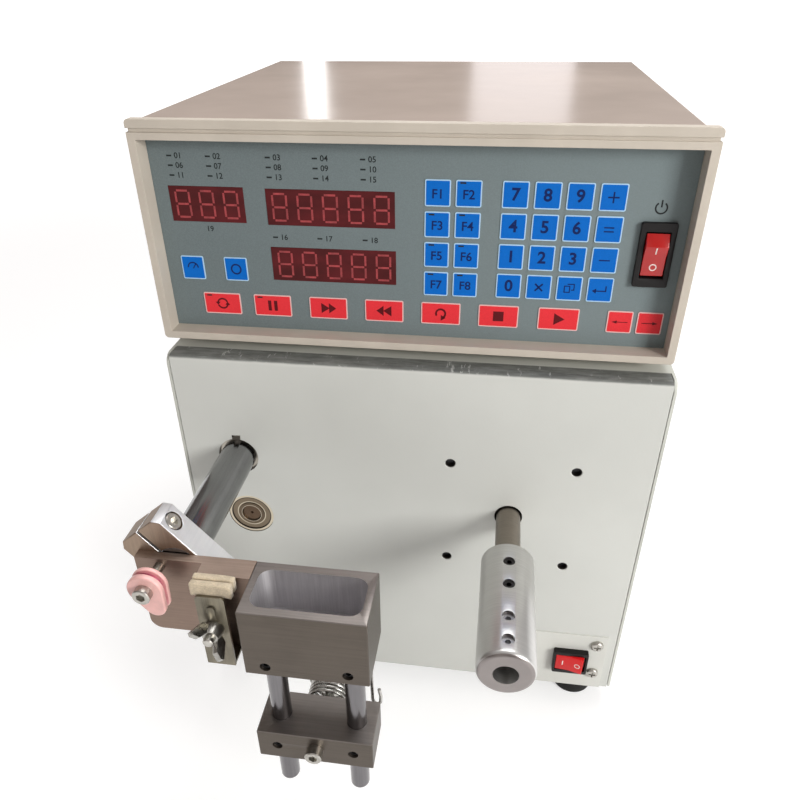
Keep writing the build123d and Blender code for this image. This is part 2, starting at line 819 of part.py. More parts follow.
def make_stepper_motor():
    """Square stepper motor that turns the lead screw."""
    y0 = bracket_front_y() + bracket_thick
    y1 = y0 + stepper_length
    half = stepper_frame / 2
    body = block(screw_x - half, screw_x + half, y0, y1, screw_z - half, screw_z + half)
    body = chamfer(edges_along(body, Axis.Y), 5.0)
    waist = block(screw_x - half, screw_x + half, y0 + 12, y1 - 12,
                  screw_z - half, screw_z + half)
    waist -= chamfer(edges_along(block(screw_x - half + 0.8, screw_x + half - 0.8, y0 + 12,
                                       y1 - 12, screw_z - half + 0.8, screw_z + half - 0.8),
                                 Axis.Y), 5.0)
    body -= waist
    return body - rod_along_y(screw_x, screw_z, stepper_shaft + 4 * running_gap, y0, y1 - 4)


# ---------------------------------------------------------------- wire guide
def clamp_plane():
    """Plane square to the traverse shaft: X runs along the arm, Y towards its bright face."""
    turn = radians(clamp_angle)
    origin = (traverse_x, front_y - guide_face, traverse_z)
    return Plane(origin, x_dir=(cos(turn), 0, sin(turn)), z_dir=(0, -1, 0))


def clamp_local(along, across, y):
    """Point of the clamp arm in machine coordinates."""
    turn = radians(clamp_angle)
    return (traverse_x + along * cos(turn) - across * sin(turn), y,
            traverse_z + along * sin(turn) + across * cos(turn))


def arm_frame():
    """Location whose X runs along the arm, Y is the machine's +Y, Z is the bright face's way."""
    return Location((traverse_x, 0, traverse_z), (0, -clamp_angle, 0))


def make_clamp_arm():
    """Split clamp block on the traverse shaft; its long end carries the guide plate."""
    y0 = front_y - guide_face
    y1 = front_y - clamp_back
    arm = block(-clamp_end, clamp_reach, y0, y1, -clamp_lower, clamp_upper)
    ends = edges_along(arm, Axis.Y).sort_by(Axis.X)
    arm = chamfer(ends[:2], clamp_chamfer)
    arm = chamfer(arm.edges().group_by(Axis.Y)[0], edge_break)
    slot = -clamp_slot_drop
    arm -= block(-clamp_end, 0, y0, y1, slot - clamp_slot / 2, slot + clamp_slot / 2)
    mid_y = (y0 + y1) / 2
    bore = Pos(-clamp_screw_place, mid_y, 0)
    sink = cap_head_height
    arm -= bore * Pos(0, 0, clamp_upper - sink / 2) * Cylinder(cap_head_diameter / 2 + 0.6, sink)
    low = 3.0 - clamp_lower
    high = clamp_upper - sink
    arm -= bore * Pos(0, 0, (low + high) / 2) * Cylinder(m5 / 2 + running_gap, high - low)
    arm -= rod_along_y(0, 0, traverse_diameter + 2 * running_gap, y0, y1)
    return arm_frame() * arm


def make_clamp_screw():
    """Socket head screw that pinches the clamp's slot."""
    mid_y = front_y - (clamp_back + guide_face) / 2
    seat = clamp_upper - cap_head_height
    head = Pos(0, 0, seat + cap_head_height / 2) * Cylinder(cap_head_diameter / 2,
                                                            cap_head_height)
    head = chamfer(head.edges().group_by(Axis.Z)[-1], edge_break)
    head -= Pos(0, 0, seat + cap_head_height - 2.5) * extrude(
        RegularPolygon(hex_socket / 2, 6, major_radius=False), 2.5)
    shank_low = 3.5 - clamp_lower
    shank = Pos(0, 0, (seat + shank_low) / 2) * Cylinder(m5 / 2, seat - shank_low)
    return arm_frame() * Pos(-clamp_screw_place, mid_y, 0) * (head + shank)


def make_guide_plate():
    """Wire guide plate: thin at the shoe, thick behind the felt pads."""
    y1 = front_y - guide_face
    y0 = y1 - guide_thick
    plate = block(guide_left_x, guide_right_x, y0, y1, guide_bottom_z, guide_top_z)
    corner = edges_along(plate, Axis.Y).group_by(Axis.X)[0].sort_by(Axis.Z)[0]
    plate = fillet(corner, guide_corner_radius)
    plate += block(pad_block_left_x, guide_right_x, y0 - pad_block_thick, y0,
                   guide_bottom_z, guide_top_z)
    plate -= rod_along_y(shoe_x, shoe_z, m5 + 2 * running_gap, y0, y1)
    plate -= rod_along_y(press_x, stud_z, m5 + 2 * running_gap, y0 - pad_block_thick, y1)
    return plate


def shoe_outline(shrink):
    """Teardrop face of the guide shoe, drawn in by shrink."""
    turn = radians(shoe_tail_angle)
    big = shoe_radius - shrink
    small = shoe_tail_radius - shrink
    lean = (big - small) / shoe_tail_length
    rise = sqrt(1 - lean * lean)
    tip = (shoe_tail_length * cos(turn), shoe_tail_length * sin(turn))

    def corner(centre, radius, side):
        across = (-sin(turn) * side * rise, cos(turn) * side * rise)
        along = (cos(turn) * lean, sin(turn) * lean)
        return (centre[0] + radius * (across[0] + along[0]),
                centre[1] + radius * (across[1] + along[1]))

    quad = Polyline(corner((0, 0), big, 1), corner(tip, small, 1), corner(tip, small, -1),
                    corner((0, 0), big, -1), close=True)
    return make_face(quad) + Circle(big) + Pos(*tip) * Circle(small)


def shoe_slab(shrink, y0, y1):
    """Teardrop slab of the shoe between two Y planes."""
    plane = Plane((shoe_x, y1, shoe_z), x_dir=(1, 0, 0), z_dir=(0, -1, 0))
    return plane * extrude(shoe_outline(shrink), y1 - y0)


def shoe_planes():
    """Rear face, groove's two walls and front face of the shoe."""
    rear = front_y - guide_face - guide_thick - shoe_stand_off
    a = rear - shoe_rear_flange
    b = a - shoe_groove_width
    return rear, a, b, b - shoe_front_flange


def make_guide_shoe():
    """Grooved ceramic shoe that the wire runs round."""
    rear, a, b, front = shoe_planes()
    shoe = shoe_slab(0, a, rear) + shoe_slab(shoe_groove_depth, b, a) + shoe_slab(0, front, b)
    shoe -= rod_along_y(shoe_x, shoe_z, m5 + 2 * running_gap, front, rear)
    return shoe


def make_shoe_screw():
    """Screw that holds the shoe off the guide plate."""
    front = shoe_planes()[3]
    plate_back = front_y - guide_face
    return cap_screw(shoe_x, shoe_z, front - running_gap, plate_back - 0.5, m5,
                     cap_head_diameter, shoe_head_height)


def make_felt_pads():
    """Two felt strips that brake the wire."""
    back = front_y - guide_face - guide_thick - pad_block_thick - soft_gap
    x1 = felt_left_x + felt_width
    top = guide_top_z + felt_rise
    pads = []
    for index in range(2):
        y1 = back - index * (felt_thick + soft_gap)
        pads.append(block(felt_left_x, x1, y1 - felt_thick, y1, top - felt_height, top))
    return group(pads)


def press_back_y():
    """Back face of the pressure plate at rest."""
    return (front_y - guide_face - guide_thick - pad_block_thick
            - 2 * felt_thick - 3 * soft_gap)


def make_pressure_plate():
    """Bent strip that squeezes the felts; its foot rests on the guide plate."""
    y1 = press_back_y()
    y0 = y1 - press_thick
    half = press_width / 2
    strip = block(press_x - half, press_x + half, y0, y1, press_bottom_z, press_top_z)
    strip = fillet(edges_along(strip, Axis.Y).group_by(Axis.Z)[-1], 2.0)
    foot_y = front_y - guide_face - guide_thick - pad_block_thick - running_gap
    foot_top = max(press_bottom_z, guide_bottom_z) + press_thick
    strip += block(press_x - half, press_x + half, y1, foot_y, foot_top - press_thick, foot_top)
    dimple = extrude(SlotOverall(bump_length, bump_width, rotation=90), bump_height)
    strip += Pos(press_x, y0, stud_z + bump_rise) * Rot(90, 0, 0) * dimple
    return strip - rod_along_y(press_x, stud_z, m5 + 2 * seat_gap, y0, y1)


def make_tension_stud():
    """Threaded stud of the felt clamp, fixed in the guide plate."""
    y1 = front_y - guide_face - 0.3
    y0 = press_back_y() - press_thick - wing_hub_length - 3.5
    stud = rod_along_y(press_x, stud_z, m5, y0, y1)
    return chamfer(stud.edges().group_by(Axis.Y)[0], 0.5)


def make_wing_nut():
    """Wing nut on the stud."""
    y1 = press_back_y() - press_thick - running_gap
    y0 = y1 - wing_hub_length
    hub = Pos(0, (y0 + y1) / 2, 0) * Rot(90, 0, 0) * Cone(wing_hub / 2 + 0.5, wing_hub / 2 - 0.8,
                                                          wing_hub_length)
    wings = []
    for side in (-1, 1):
        with BuildPart() as maker:
            with BuildSketch(Plane.XY):
                with BuildLine():
                    Polyline((side * 2.9, y1 - 0.6), (side * (wing_reach - 3), y1 - 3.0),
                             (side * wing_reach, y0 - wing_rise + 4.0),
                             (side * (wing_reach - 1.5), y0 - wing_rise + 3.0),
                             (side * (wing_reach - 5), y0 - wing_rise + 4.5),
                             (side * 2.9, y0 + 0.8), close=True)
                make_face()
            extrude(amount=wing_thick / 2, both=True)
        wing = maker.part
        wings.append(fillet(edges_along(wing, Axis.Z).group_by(Axis.Y)[0], 0.6))
    nut = hub + wings
    nut -= Pos(0, y0, 0) * Rot(90, 0, 0) * Cylinder(m5 / 2 + running_gap, 60)
    return Pos(press_x, 0, stud_z) * Rot(0, -wing_angle, 0) * nut


def cup_bounds():
    """X and Y bounds of the cup block, which the lower block shares."""
    return (cup_x - cup_width / 2, cup_x + cup_width / 2,
            front_y - cup_face, front_y - guide_face)


def rod_places():
    """X of the two guide rods."""
    return (cup_x - rod_spacing / 2, cup_x + rod_spacing / 2)


def make_cup_block():
    """Aluminium block with a round-cornered pocket, on two guide rods."""
    x0, x1, y0, y1 = cup_bounds()
    z1 = guide_top_z
    z0 = z1 - cup_height
    cup = block(x0, x1, y0, y1, z0, z1)
    cup = chamfer(cup.edges(), edge_break)
    floor = z1 - cup_pocket_depth
    pocket = block(x0 + cup_wall_side, x1 - cup_wall_side, y0 + cup_wall_front,
                   y1 - cup_wall_back, floor, z1 + 1)
    pocket = fillet(edges_along(pocket, Axis.Z), cup_corner_radius)
    cup -= pocket
    for x in rod_places():
        cup -= rod_along_z(x, rod_y, rod_diameter + 2 * running_gap, z0, z0 + rod_seat_depth)
        cup -= rod_along_y(x, z0 + cup_set_screw_rise, set_screw_diameter + 2 * running_gap, y0,
                           rod_y)
    return cup


def make_guide_rods():
    """Two steel rods with rounded ends."""
    rods = []
    top = guide_top_z - cup_height + rod_seat_depth - 0.2
    for x in rod_places():
        rod = rod_along_z(x, rod_y, rod_diameter, rod_end_z, top)
        rods.append(fillet(rod.edges().group_by(Axis.Z)[0], rod_round))
    return group(rods)


def set_screw(x, z, face_y):
    """Headless socket screw that presses on a rod."""
    y0 = face_y + set_screw_recess
    y1 = rod_y - rod_diameter / 2 - 0.02
    screw = rod_along_y(x, z, set_screw_diameter, y0, y1)
    return screw - hex_along_y(x, z, 2.5, y0, y0 + 2)


def make_cup_screws():
    """Set screws that hold the rods in the cup block."""
    face = front_y - cup_face
    z = guide_top_z - cup_height + cup_set_screw_rise
    return group(set_screw(x, z, face) for x in rod_places())


def make_lower_block():
    """Sliding block on the guide rods."""
    x0, x1, y0, _ = cup_bounds()
    y1 = y0 + lower_depth
    z0 = lower_top_z - lower_height
    part = block(x0, x1, y0, y1, z0, lower_top_z)
    part = chamfer(part.edges(), edge_break)
    for x in rod_places():
        part -= rod_along_z(x, rod_y, rod_diameter + 2 * running_gap, z0, lower_top_z)
        part -= rod_along_y(x, lower_mid_z, set_screw_diameter + 2 * running_gap, y0, rod_y)
    return part - rod_along_y(cup_x, lower_mid_z, m5 + 2 * running_gap, y0, y1)


def make_lower_screws():
    """Set screws that lock the lower block on the rods."""
    face = front_y - cup_face
    return group(set_screw(x, lower_mid_z, face) for x in rod_places())


def spring_planes():
    """Front and rear Y of the spring behind the lower block."""
    front = front_y - cup_face + lower_depth + 0.1
    return front, front + spring_length


def make_centre_screw():
    """Long socket head screw through the lower block, spring and disc."""
    _, spring_end = spring_planes()
    tail = spring_end + disc_thick + lock_nut_thick + screw_tail
    return cap_screw(cup_x, lower_mid_z, front_y - cup_face, tail, m5, cap_head_diameter,
                     cap_head_height)


def biarc(first, first_way, last, last_way):
    """Two tangent arcs between two points with given unit headings."""
    span = last - first
    both = first_way + last_way
    spread = 2 * (1 - first_way.dot(last_way))
    reach = (-span.dot(both) + sqrt(span.dot(both) ** 2 + spread * span.dot(span))) / spread
    near = first + first_way * reach
    far = last - last_way * reach
    joint = (near + far) * 0.5
    return [TangentArc(first, joint, tangent=first_way),
            TangentArc(joint, last, tangent=(far - near).normalized())]


def self_gap(places, wire_diameter, skip):
    """Smallest clear space between turns, measured on points along the wire."""
    least = 1e9
    for index, place in enumerate(places):
        for other in places[index + skip:]:
            least = min(least, (place - other).length)
    return least - wire_diameter


def make_tension_spring():
    """Compression spring on the centre screw, one round tube from end to end."""
    y0, y1 = spring_planes()
    radius = (spring_diameter - spring_wire) / 2
    climb = (y1 - y0 - spring_wire) / spring_turns
    start = y0 + spring_wire / 2
    quarter = pi / 2

    def place(angle):
        return Vector(cup_x + radius * cos(angle), start + climb * angle / (2 * pi),
                      lower_mid_z - radius * sin(angle))

    def heading(angle):
        return Vector(-radius * sin(angle), climb / (2 * pi),
                      -radius * cos(angle)).normalized()

    pieces = []
    for step in range(4 * spring_turns):
        first = step * quarter
        last = first + quarter
        pieces += biarc(place(first), heading(first), place(last), heading(last))
    path = Wire(pieces)
    section = Plane(place(0), z_dir=heading(0)) * Circle(spring_wire / 2)
    spring = sweep(section, path=path)
    per_turn = 36
    points = [place(2 * pi * n / per_turn) for n in range(per_turn * spring_turns + 1)]
    gap = self_gap(points, spring_wire, per_turn // 2)
    print("spring: clear space between turns", round(gap, 3), "mm")
    assert gap > 0.4
    return spring


def make_tension_disc():
    """Disc and lock nut that hold the spring on the centre screw."""
    _, y0 = spring_planes()
    y0 += 0.1
    y1 = y0 + disc_thick
    disc = rod_along_y(cup_x, lower_mid_z, disc_diameter, y0, y1)
    disc = fillet(disc.edges().group_by(Axis.Y)[-1], 0.8)
    nut = hex_along_y(cup_x, lower_mid_z, lock_nut_flats, y1, y1 + lock_nut_thick)
    return disc + nut - rod_along_y(cup_x, lower_mid_z, m5 + 2 * running_gap, y0,
                                    y1 + lock_nut_thick)


# ---------------------------------------------------------------- controller
def spread_out(widths, gaps):
    """Left edges of items across the bezel, whose gaps share the width that is left."""
    factor = (bezel_width - sum(widths)) / sum(gaps)
    edges = []
    place = 0.0
    for width, gap in zip(widths, gaps):
        place += gap * factor
        edges.append(place)
        place += width
    return edges


def column_left(index):
    """Left edge of one of the panel's five columns."""
    return spread_out(column_widths, column_gaps)[index]


def power_place():
    """Centre of the power switch in machine X and Z."""
    return on_panel(column_left(4) + power_width / 2, power_z)


def window_places():
    """Left, right, low and high edges of the three windows."""
    first, second = column_left(0), column_left(1)
    right = second + column_widths[1]
    return ((first, first + column_widths[0], *left_window_z),
            (second, right - upper_window_short, *upper_window_z),
            (second, right, *lower_window_z))


def on_panel(u, v):
    """Panel place, from the bezel's lower left corner, in machine X and Z."""
    return case_x0 + u, case_z0 + v


def make_bezel_frame():
    """Front frame of the controller, with a groove along its top band."""
    x0 = case_x0
    x1 = x0 + bezel_width
    y0 = case_front_y
    y1 = y0 + bezel_depth
    frame = block(x0, x1, y0, y1, case_z0, case_z1)
    frame = fillet(edges_along(frame, Axis.Y), bezel_corner)
    frame -= block(x0 + bezel_side, x1 - bezel_side, y0, panel_y + panel_thick,
                   case_z0 + bezel_bottom, case_z1 - bezel_top)
    inner = bezel_side + 3
    frame -= block(x0 + inner, x1 - inner, panel_y + panel_thick, y1,
                   case_z0 + bezel_bottom + 3, case_z1 - bezel_top)
    frame -= block(x0, x1, y0, y0 + bezel_groove, case_z0 + groove_low_z,
                   case_z0 + groove_high_z)
    under_cover = case_z1 - cover_drop - sheet - seat_gap
    frame -= block(x0 + cover_inset - seat_gap, x1 - cover_inset + seat_gap, y0 + bezel_lip, y1,
                   under_cover, case_z1)
    for left in (x0, x1 - cover_inset + seat_gap):
        frame -= block(left, left + cover_inset - seat_gap, y0 + bezel_lip, y1,
                       case_z1 - bezel_step, case_z1)
    for ledge in (x0, x1 - bezel_groove):
        frame -= block(ledge, ledge + bezel_groove, y0, y1, case_z0 + groove_low_z,
                       case_z0 + groove_high_z)
    return frame


def make_key_panel():
    """Recessed panel with openings for the windows and the power switch."""
    x0 = case_x0 + bezel_side + seat_gap
    x1 = case_x0 + bezel_width - bezel_side - seat_gap
    z0 = case_z0 + bezel_bottom + seat_gap
    z1 = case_z1 - bezel_top - seat_gap
    panel = block(x0, x1, panel_y, panel_y + panel_thick, z0, z1)
    for left, right, low, high in window_places():
        a, c = on_panel(left, low)
        b, d = on_panel(right, high)
        panel -= block(a, b, panel_y, panel_y + window_thick, c, d)
    x, z = power_place()
    wide = power_width / 2 - 1.5
    tall = power_height / 2 - 1.5
    panel -= block(x - wide, x + wide, panel_y, panel_y + panel_thick, z - tall, z + tall)
    return panel


def make_display_windows():
    """Three dark red windows, flush in the panel."""
    plates = []
    for left, right, low, high in window_places():
        a, c = on_panel(left, low)
        b, d = on_panel(right, high)
        plates.append(block(a, b, panel_y - window_proud, panel_y + window_thick, c, d))
    return group(plates)


def key_cap(u, v, size):
    """One raised key field of the panel."""
    x, z = on_panel(u, v)
    wide, tall = size
    cap = block(x - wide / 2, x + wide / 2, panel_y - key_rise, panel_y, z - tall / 2,
                z + tall / 2)
    return fillet(edges_along(cap, Axis.Y), 0.8)


def make_blue_keys():
    """Number keys, function keys and the pair under the left window."""
    keys = []
    half = number_key[0] / 2
    pair_u = column_left(0) + pair_inset + half
    function_u = column_left(2) + half
    number_u = column_left(3) + half
    for row in range(4):
        for column in range(4):
            keys.append(key_cap(number_u + column * key_pitch_x, number_z - row * key_pitch_z,
                                number_key))
        for column in range(2):
            keys.append(key_cap(function_u + column * function_pitch[0],
                                function_z - row * function_pitch[1], number_key))
    for column in range(2):
        keys.append(key_cap(pair_u + column * pair_pitch, pair_z, number_key))
    return group(keys)


def make_red_keys():
    """Row of red command keys and the two arrow keys."""
    sizes = [red_key] * red_key_count + [arrow_key] * 2
    edges = spread_out([wide for wide, _ in sizes], row_gaps)
    return group(key_cap(edge + size[0] / 2, red_key_z, size)
                 for edge, size in zip(edges, sizes))


def cover_bounds():
    """X and Y bounds of the controller's covers."""
    x0 = case_x0 + cover_inset
    x1 = case_x0 + bezel_width - cover_inset
    return x0, x1, case_front_y + bezel_depth, case_front_y + case_depth


def make_top_cover():
    """Top sheet of the controller."""
    x0, x1, _, y1 = cover_bounds()
    y0 = case_front_y + bezel_lip + seat_gap
    z1 = case_z1 - cover_drop
    cover = block(x0, x1, y0, y1, z1 - sheet, z1)
    return fillet(edges_along(cover, Axis.Y).group_by(Axis.Z)[-1], 1.0)


def make_side_covers():
    """Side sheets of the controller, each with a row of vent slots."""
    x0, x1, y0, y1 = cover_bounds()
    z0 = case_z0 + tray_rise
    z1 = case_z1 - cover_drop - sheet
    covers = []
    for low, high in ((x0, x0 + sheet), (x1 - sheet, x1)):
        part = block(low, high, y0, y1, z0, z1)
        for index in range(vent_count):
            y = y1 - vent_rear_room - index * vent_pitch
            part -= block(low, high, y - vent_width / 2, y + vent_width / 2, z0 + vent_low,
                          z0 + vent_high)
        covers.append(part)
    return group(covers)


def make_base_tray():
    """Floor of the controller."""
    x0, x1, y0, y1 = cover_bounds()
    z0 = case_z0 + tray_rise
    return block(x0 + sheet, x1 - sheet, y0, y1 - sheet, z0, z0 + sheet)


def inlet_place():
    """Centre of the mains inlet on the controller's rear panel."""
    return case_x0 + rear_item_inset, case_z0 + rear_item_rise


def socket_place():
    """Centre of the signal socket on the controller's rear panel."""
    return case_x0 + bezel_width - rear_item_inset, case_z0 + rear_item_rise


def make_case_rear():
    """Rear panel of the controller with the inlet's and socket's openings."""
    x0, x1, _, y1 = cover_bounds()
    y0 = y1 - sheet
    panel = block(x0 + sheet, x1 - sheet, y0, y1, case_z0 + tray_rise,
                  case_z1 - cover_drop - sheet)
    x, z = inlet_place()
    wide = inlet_width / 2 + seat_gap
    tall = inlet_height / 2 + seat_gap
    panel -= block(x - wide, x + wide, y0, y1, z - tall, z + tall)
    x, z = socket_place()
    return panel - rod_along_y(x, z, socket_diameter + 2 * seat_gap, y0, y1)


def make_mains_inlet():
    """Mains inlet with its cavity and three blades."""
    x, z = inlet_place()
    face = case_front_y + case_depth
    body = block(x - inlet_width / 2, x + inlet_width / 2, face - inlet_depth, face,
                 z - inlet_height / 2, z + inlet_height / 2)
    lip = block(x - inlet_flange / 2, x + inlet_flange / 2, face, face + rear_fitting,
                z - inlet_height / 2 - 2, z + inlet_height / 2 + 2)
    lip = chamfer(edges_along(lip, Axis.Y), 5.0)
    front = face + rear_fitting - inlet_cavity
    cavity = block(x - inlet_width / 2 + 2, x + inlet_width / 2 - 2, front,
                   face + rear_fitting, z - inlet_height / 2 + 2, z + inlet_height / 2 - 2)
    blades = []
    for dx, dz in ((-7, -1.5), (0, 2.0), (7, -1.5)):
        blades.append(block(x + dx - 1, x + dx + 1, front, face - 2, z + dz - 2, z + dz + 2))
    return (body + lip) - cavity + blades


def round_socket(x, z, face):
    """Round signal socket in a rear panel, with a ring nut outside."""
    body = rod_along_y(x, z, socket_diameter, face - socket_length, face)
    outer = face + rear_fitting
    ring = rod_along_y(x, z, socket_diameter + 5, face, outer)
    return body + ring - rod_along_y(x, z, socket_diameter - 4, outer - 1.5, outer)


def make_signal_sockets():
    """Signal sockets of the controller and of the drive box."""
    x, z = socket_place()
    upper = round_socket(x, z, case_front_y + case_depth)
    lower = round_socket(0, body_z0 + box_socket_rise, front_y + body_depth)
    return group([upper, lower])


def make_control_board():
    """Circuit board on four pillars over the base tray."""
    x0, x1, y0, y1 = cover_bounds()
    floor = case_z0 + tray_rise + sheet
    low = floor + board_rise
    left = x0 + board_left_room
    right = x1 - board_right_room
    front = y0 + board_front_room
    back = y1 - board_rear_room
    board = block(left, right, front, back, low, low + board_thick)
    edge = pillar_diameter
    pillars = [rod_along_z(x, y, pillar_diameter, floor, low)
               for x in (left + edge, right - edge) for y in (front + edge, back - edge)]
    chips = [block(left + 20 + n * 28, left + 38 + n * 28, front + 25, front + 45,
                   low + board_thick, low + board_thick + 4) for n in range(4)]
    return board + pillars + chips


def make_transformer():
    """Mains transformer on the base tray."""
    x0, _, y0, _ = cover_bounds()
    wide, deep, tall = transformer_size
    floor = case_z0 + tray_rise + sheet
    left = x0 + transformer_left_room
    front = y0 + transformer_front_room
    core = block(left, left + wide, front + 12, front + deep - 12, floor, floor + tall)
    coil = block(left + 14, left + wide - 14, front, front + deep, floor + 12, floor + tall - 12)
    return core + fillet(edges_along(coil, Axis.Z), 5.0)


def make_case_feet():
    """Four feet that hold the controller on the drive box, with their screw necks."""
    x0, x1, y0, y1 = cover_bounds()
    feet = []
    room = case_foot_side_room
    for x in (x0 + room, x1 - room):
        for y in (y0 + case_foot_front_room, y1 - room):
            foot = rod_along_z(x, y, case_foot_diameter, body_z1, case_z0 + tray_rise)
            feet.append(fillet(foot.edges().group_by(Axis.Z)[0], 1.0))
    return group(feet)


# ---------------------------------------------------------------- write every node
def main():
    """Build and write the machine's nodes."""
    os.makedirs("parts", exist_ok=True)
    nodes = {
        "front_plate": make_front_plate,
        "base_plate": make_base_plate,
        "rear_panel": make_rear_panel,
        "top_sheet": make_top_sheet,
        "side_sheets": make_side_sheets,
        "tie_bars": make_tie_bars,
        "case_screws": make_case_screws,
        "rubber_feet": make_rubber_feet,
        "switch_plate": make_switch_plate,
        "stop_switch_housing": lambda: switch_housing(
            stop_x, stop_z, stop_width, stop_height, stop_rim, front_y - plate_thick,
            stop_rocker_width, stop_rocker_height),
        "stop_rocker": lambda: rocker_sideways(
            stop_x, stop_z, front_y - plate_thick, stop_rim, stop_rocker_width,
            stop_rocker_height, stop_crest),
        "spindle_shaft": make_spindle_shaft,
        "spindle_sleeve": make_spindle_sleeve,
        "sleeve_set_screws": make_sleeve_screws,
        "motor_flange": make_motor_flange,
        "motor_stator": make_motor_stator,
        "motor_rear_bell": make_motor_bell,
        "motor_rotor": make_motor_rotor,
        "motor_bolts": make_motor_bolts,
        "ball_bearings": make_ball_bearings,
        "traverse_shaft": make_traverse_shaft,
        "linear_bush": make_linear_bush,
        "carriage_block": make_carriage,
        "lead_nut": make_lead_nut,
        "lead_screw": make_lead_screw,
        "drive_bracket": make_drive_bracket,
        "stepper_motor": make_stepper_motor,
        "clamp_arm": make_clamp_arm,
        "clamp_screw": make_clamp_screw,
        "guide_plate": make_guide_plate,
        "guide_shoe": make_guide_shoe,
        "shoe_screw": make_shoe_screw,
        "felt_pads": make_felt_pads,
        "pressure_plate": make_pressure_plate,
        "tension_stud": make_tension_stud,
        "wing_nut": make_wing_nut,
        "cup_block": make_cup_block,
        "guide_rods": make_guide_rods,
        "cup_set_screws": make_cup_screws,
        "lower_block": make_lower_block,
        "lower_set_screws": make_lower_screws,
        "centre_screw": make_centre_screw,
        "tension_spring": make_tension_spring,
        "tension_disc": make_tension_disc,
        "bezel_frame": make_bezel_frame,
        "key_panel": make_key_panel,
        "display_windows": make_display_windows,
        "blue_keys": make_blue_keys,
        "red_keys": make_red_keys,
        "power_switch_housing": lambda: switch_housing(
            *power_place(), power_width, power_height, power_rim, panel_y,
            power_rocker_width, power_rocker_height),
        "power_rocker": lambda: rocker_upright(
            *power_place(), panel_y, power_rim, power_rocker_width, power_rocker_height,
            power_crest),
        "top_cover": make_top_cover,
        "side_covers": make_side_covers,
        "base_tray": make_base_tray,
        "case_rear_panel": make_case_rear,
        "control_board": make_control_board,
        "transformer": make_transformer,
        "mains_inlet": make_mains_inlet,
        "signal_sockets": make_signal_sockets,
        "case_feet": make_case_feet,
    }
    for name, make in nodes.items():
        save(name, make())


main()
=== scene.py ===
"""Looks of a bench wire coil winder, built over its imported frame.

A drive box carries the winding spindle and a traversing wire guide. A controller with a
keypad stands on it. Every length is in metres, +Z is up and the front faces -Y.
"""

import json
import logging
import math
from dataclasses import dataclass
from enum import Enum
from typing import Any, Callable, Iterable, Optional, Sequence, Union

import bmesh
import bpy
from bmesh.types import BMesh
from bpy.types import ID, Material, Mesh, Node, NodeSocket, NodeTree, Object
from mathutils import Matrix, Vector, noise
from mathutils.bvhtree import BVHTree


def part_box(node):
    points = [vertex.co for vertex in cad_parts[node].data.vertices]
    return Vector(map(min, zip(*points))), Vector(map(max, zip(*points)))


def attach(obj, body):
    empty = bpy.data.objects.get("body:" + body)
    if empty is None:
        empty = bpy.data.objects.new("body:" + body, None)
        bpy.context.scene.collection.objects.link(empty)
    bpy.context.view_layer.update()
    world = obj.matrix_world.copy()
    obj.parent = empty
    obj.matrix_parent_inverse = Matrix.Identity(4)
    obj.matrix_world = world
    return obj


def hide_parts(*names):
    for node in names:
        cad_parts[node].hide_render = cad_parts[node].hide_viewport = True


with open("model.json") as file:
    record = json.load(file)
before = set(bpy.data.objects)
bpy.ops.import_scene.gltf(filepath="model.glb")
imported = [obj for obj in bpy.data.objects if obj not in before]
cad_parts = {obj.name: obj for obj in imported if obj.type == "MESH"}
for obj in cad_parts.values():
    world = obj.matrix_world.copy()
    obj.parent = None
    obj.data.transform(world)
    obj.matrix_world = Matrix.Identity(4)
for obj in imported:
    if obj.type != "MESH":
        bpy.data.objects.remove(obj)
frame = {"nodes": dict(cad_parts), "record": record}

log = logging.getLogger("winder")
Colour = tuple[float, float, float]
Point2 = tuple[float, float]
Settings = Optional[dict[str, Any]]
Inputs = Optional[dict[Union[str, int], Any]]

MM = 0.001
FRONT = Vector((0.0, -1.0, 0.0))
UP = Vector((0.0, 0.0, 1.0))
REACH = Vector((1.0, 1.0, 1.0))  # a corner beyond every piece
FLAT_OVER = 120e-6  # square metres over which a face is shaded flat
CREASE = 32.0  # degrees over which an edge is shaded sharp
WELD = 2e-6  # distance at which a node's vertices are one
MERGE = 1e-6  # the same for the vertices of a tile
JOIN_ANGLE = 0.6  # degrees under which neighbouring faces are one
SOFT: dict[str, Any] = {"sharp": 30.0, "steps": 3}  # rounding of soft or cast pieces
FACING = 0.7  # least cosine between a face's normal and the way that it faces
INK = 0.04 * MM  # thickness of printed marks
RAISED_INK = 0.06 * MM  # thickness of the marks on the rockers
INK_SINK = 0.01 * MM  # how deep those marks sit in the surface
FIGURE_STEPS = 4  # points on each curve of a figure
BLACK, WHITE = (0.0, 0.0, 0.0), (1.0, 1.0, 1.0)
CLEAR_SPECULAR = 0.16  # specular level of printed film


def tone(red: float, green: float, blue: float) -> Colour:
    """Turn a 0 to 255 display colour into the linear colour that shaders read."""
    def linear(value: float) -> float:
        """One part of the colour."""
        share = value / 255
        return share / 12.92 if share <= 0.04045 else ((share + 0.055) / 1.055) ** 2.4

    return linear(red), linear(green), linear(blue)


def shade(colour: Colour, factor: float) -> Colour:
    """Colour times a factor, up to full strength."""
    return tuple(min(1.0, value * factor) for value in colour)


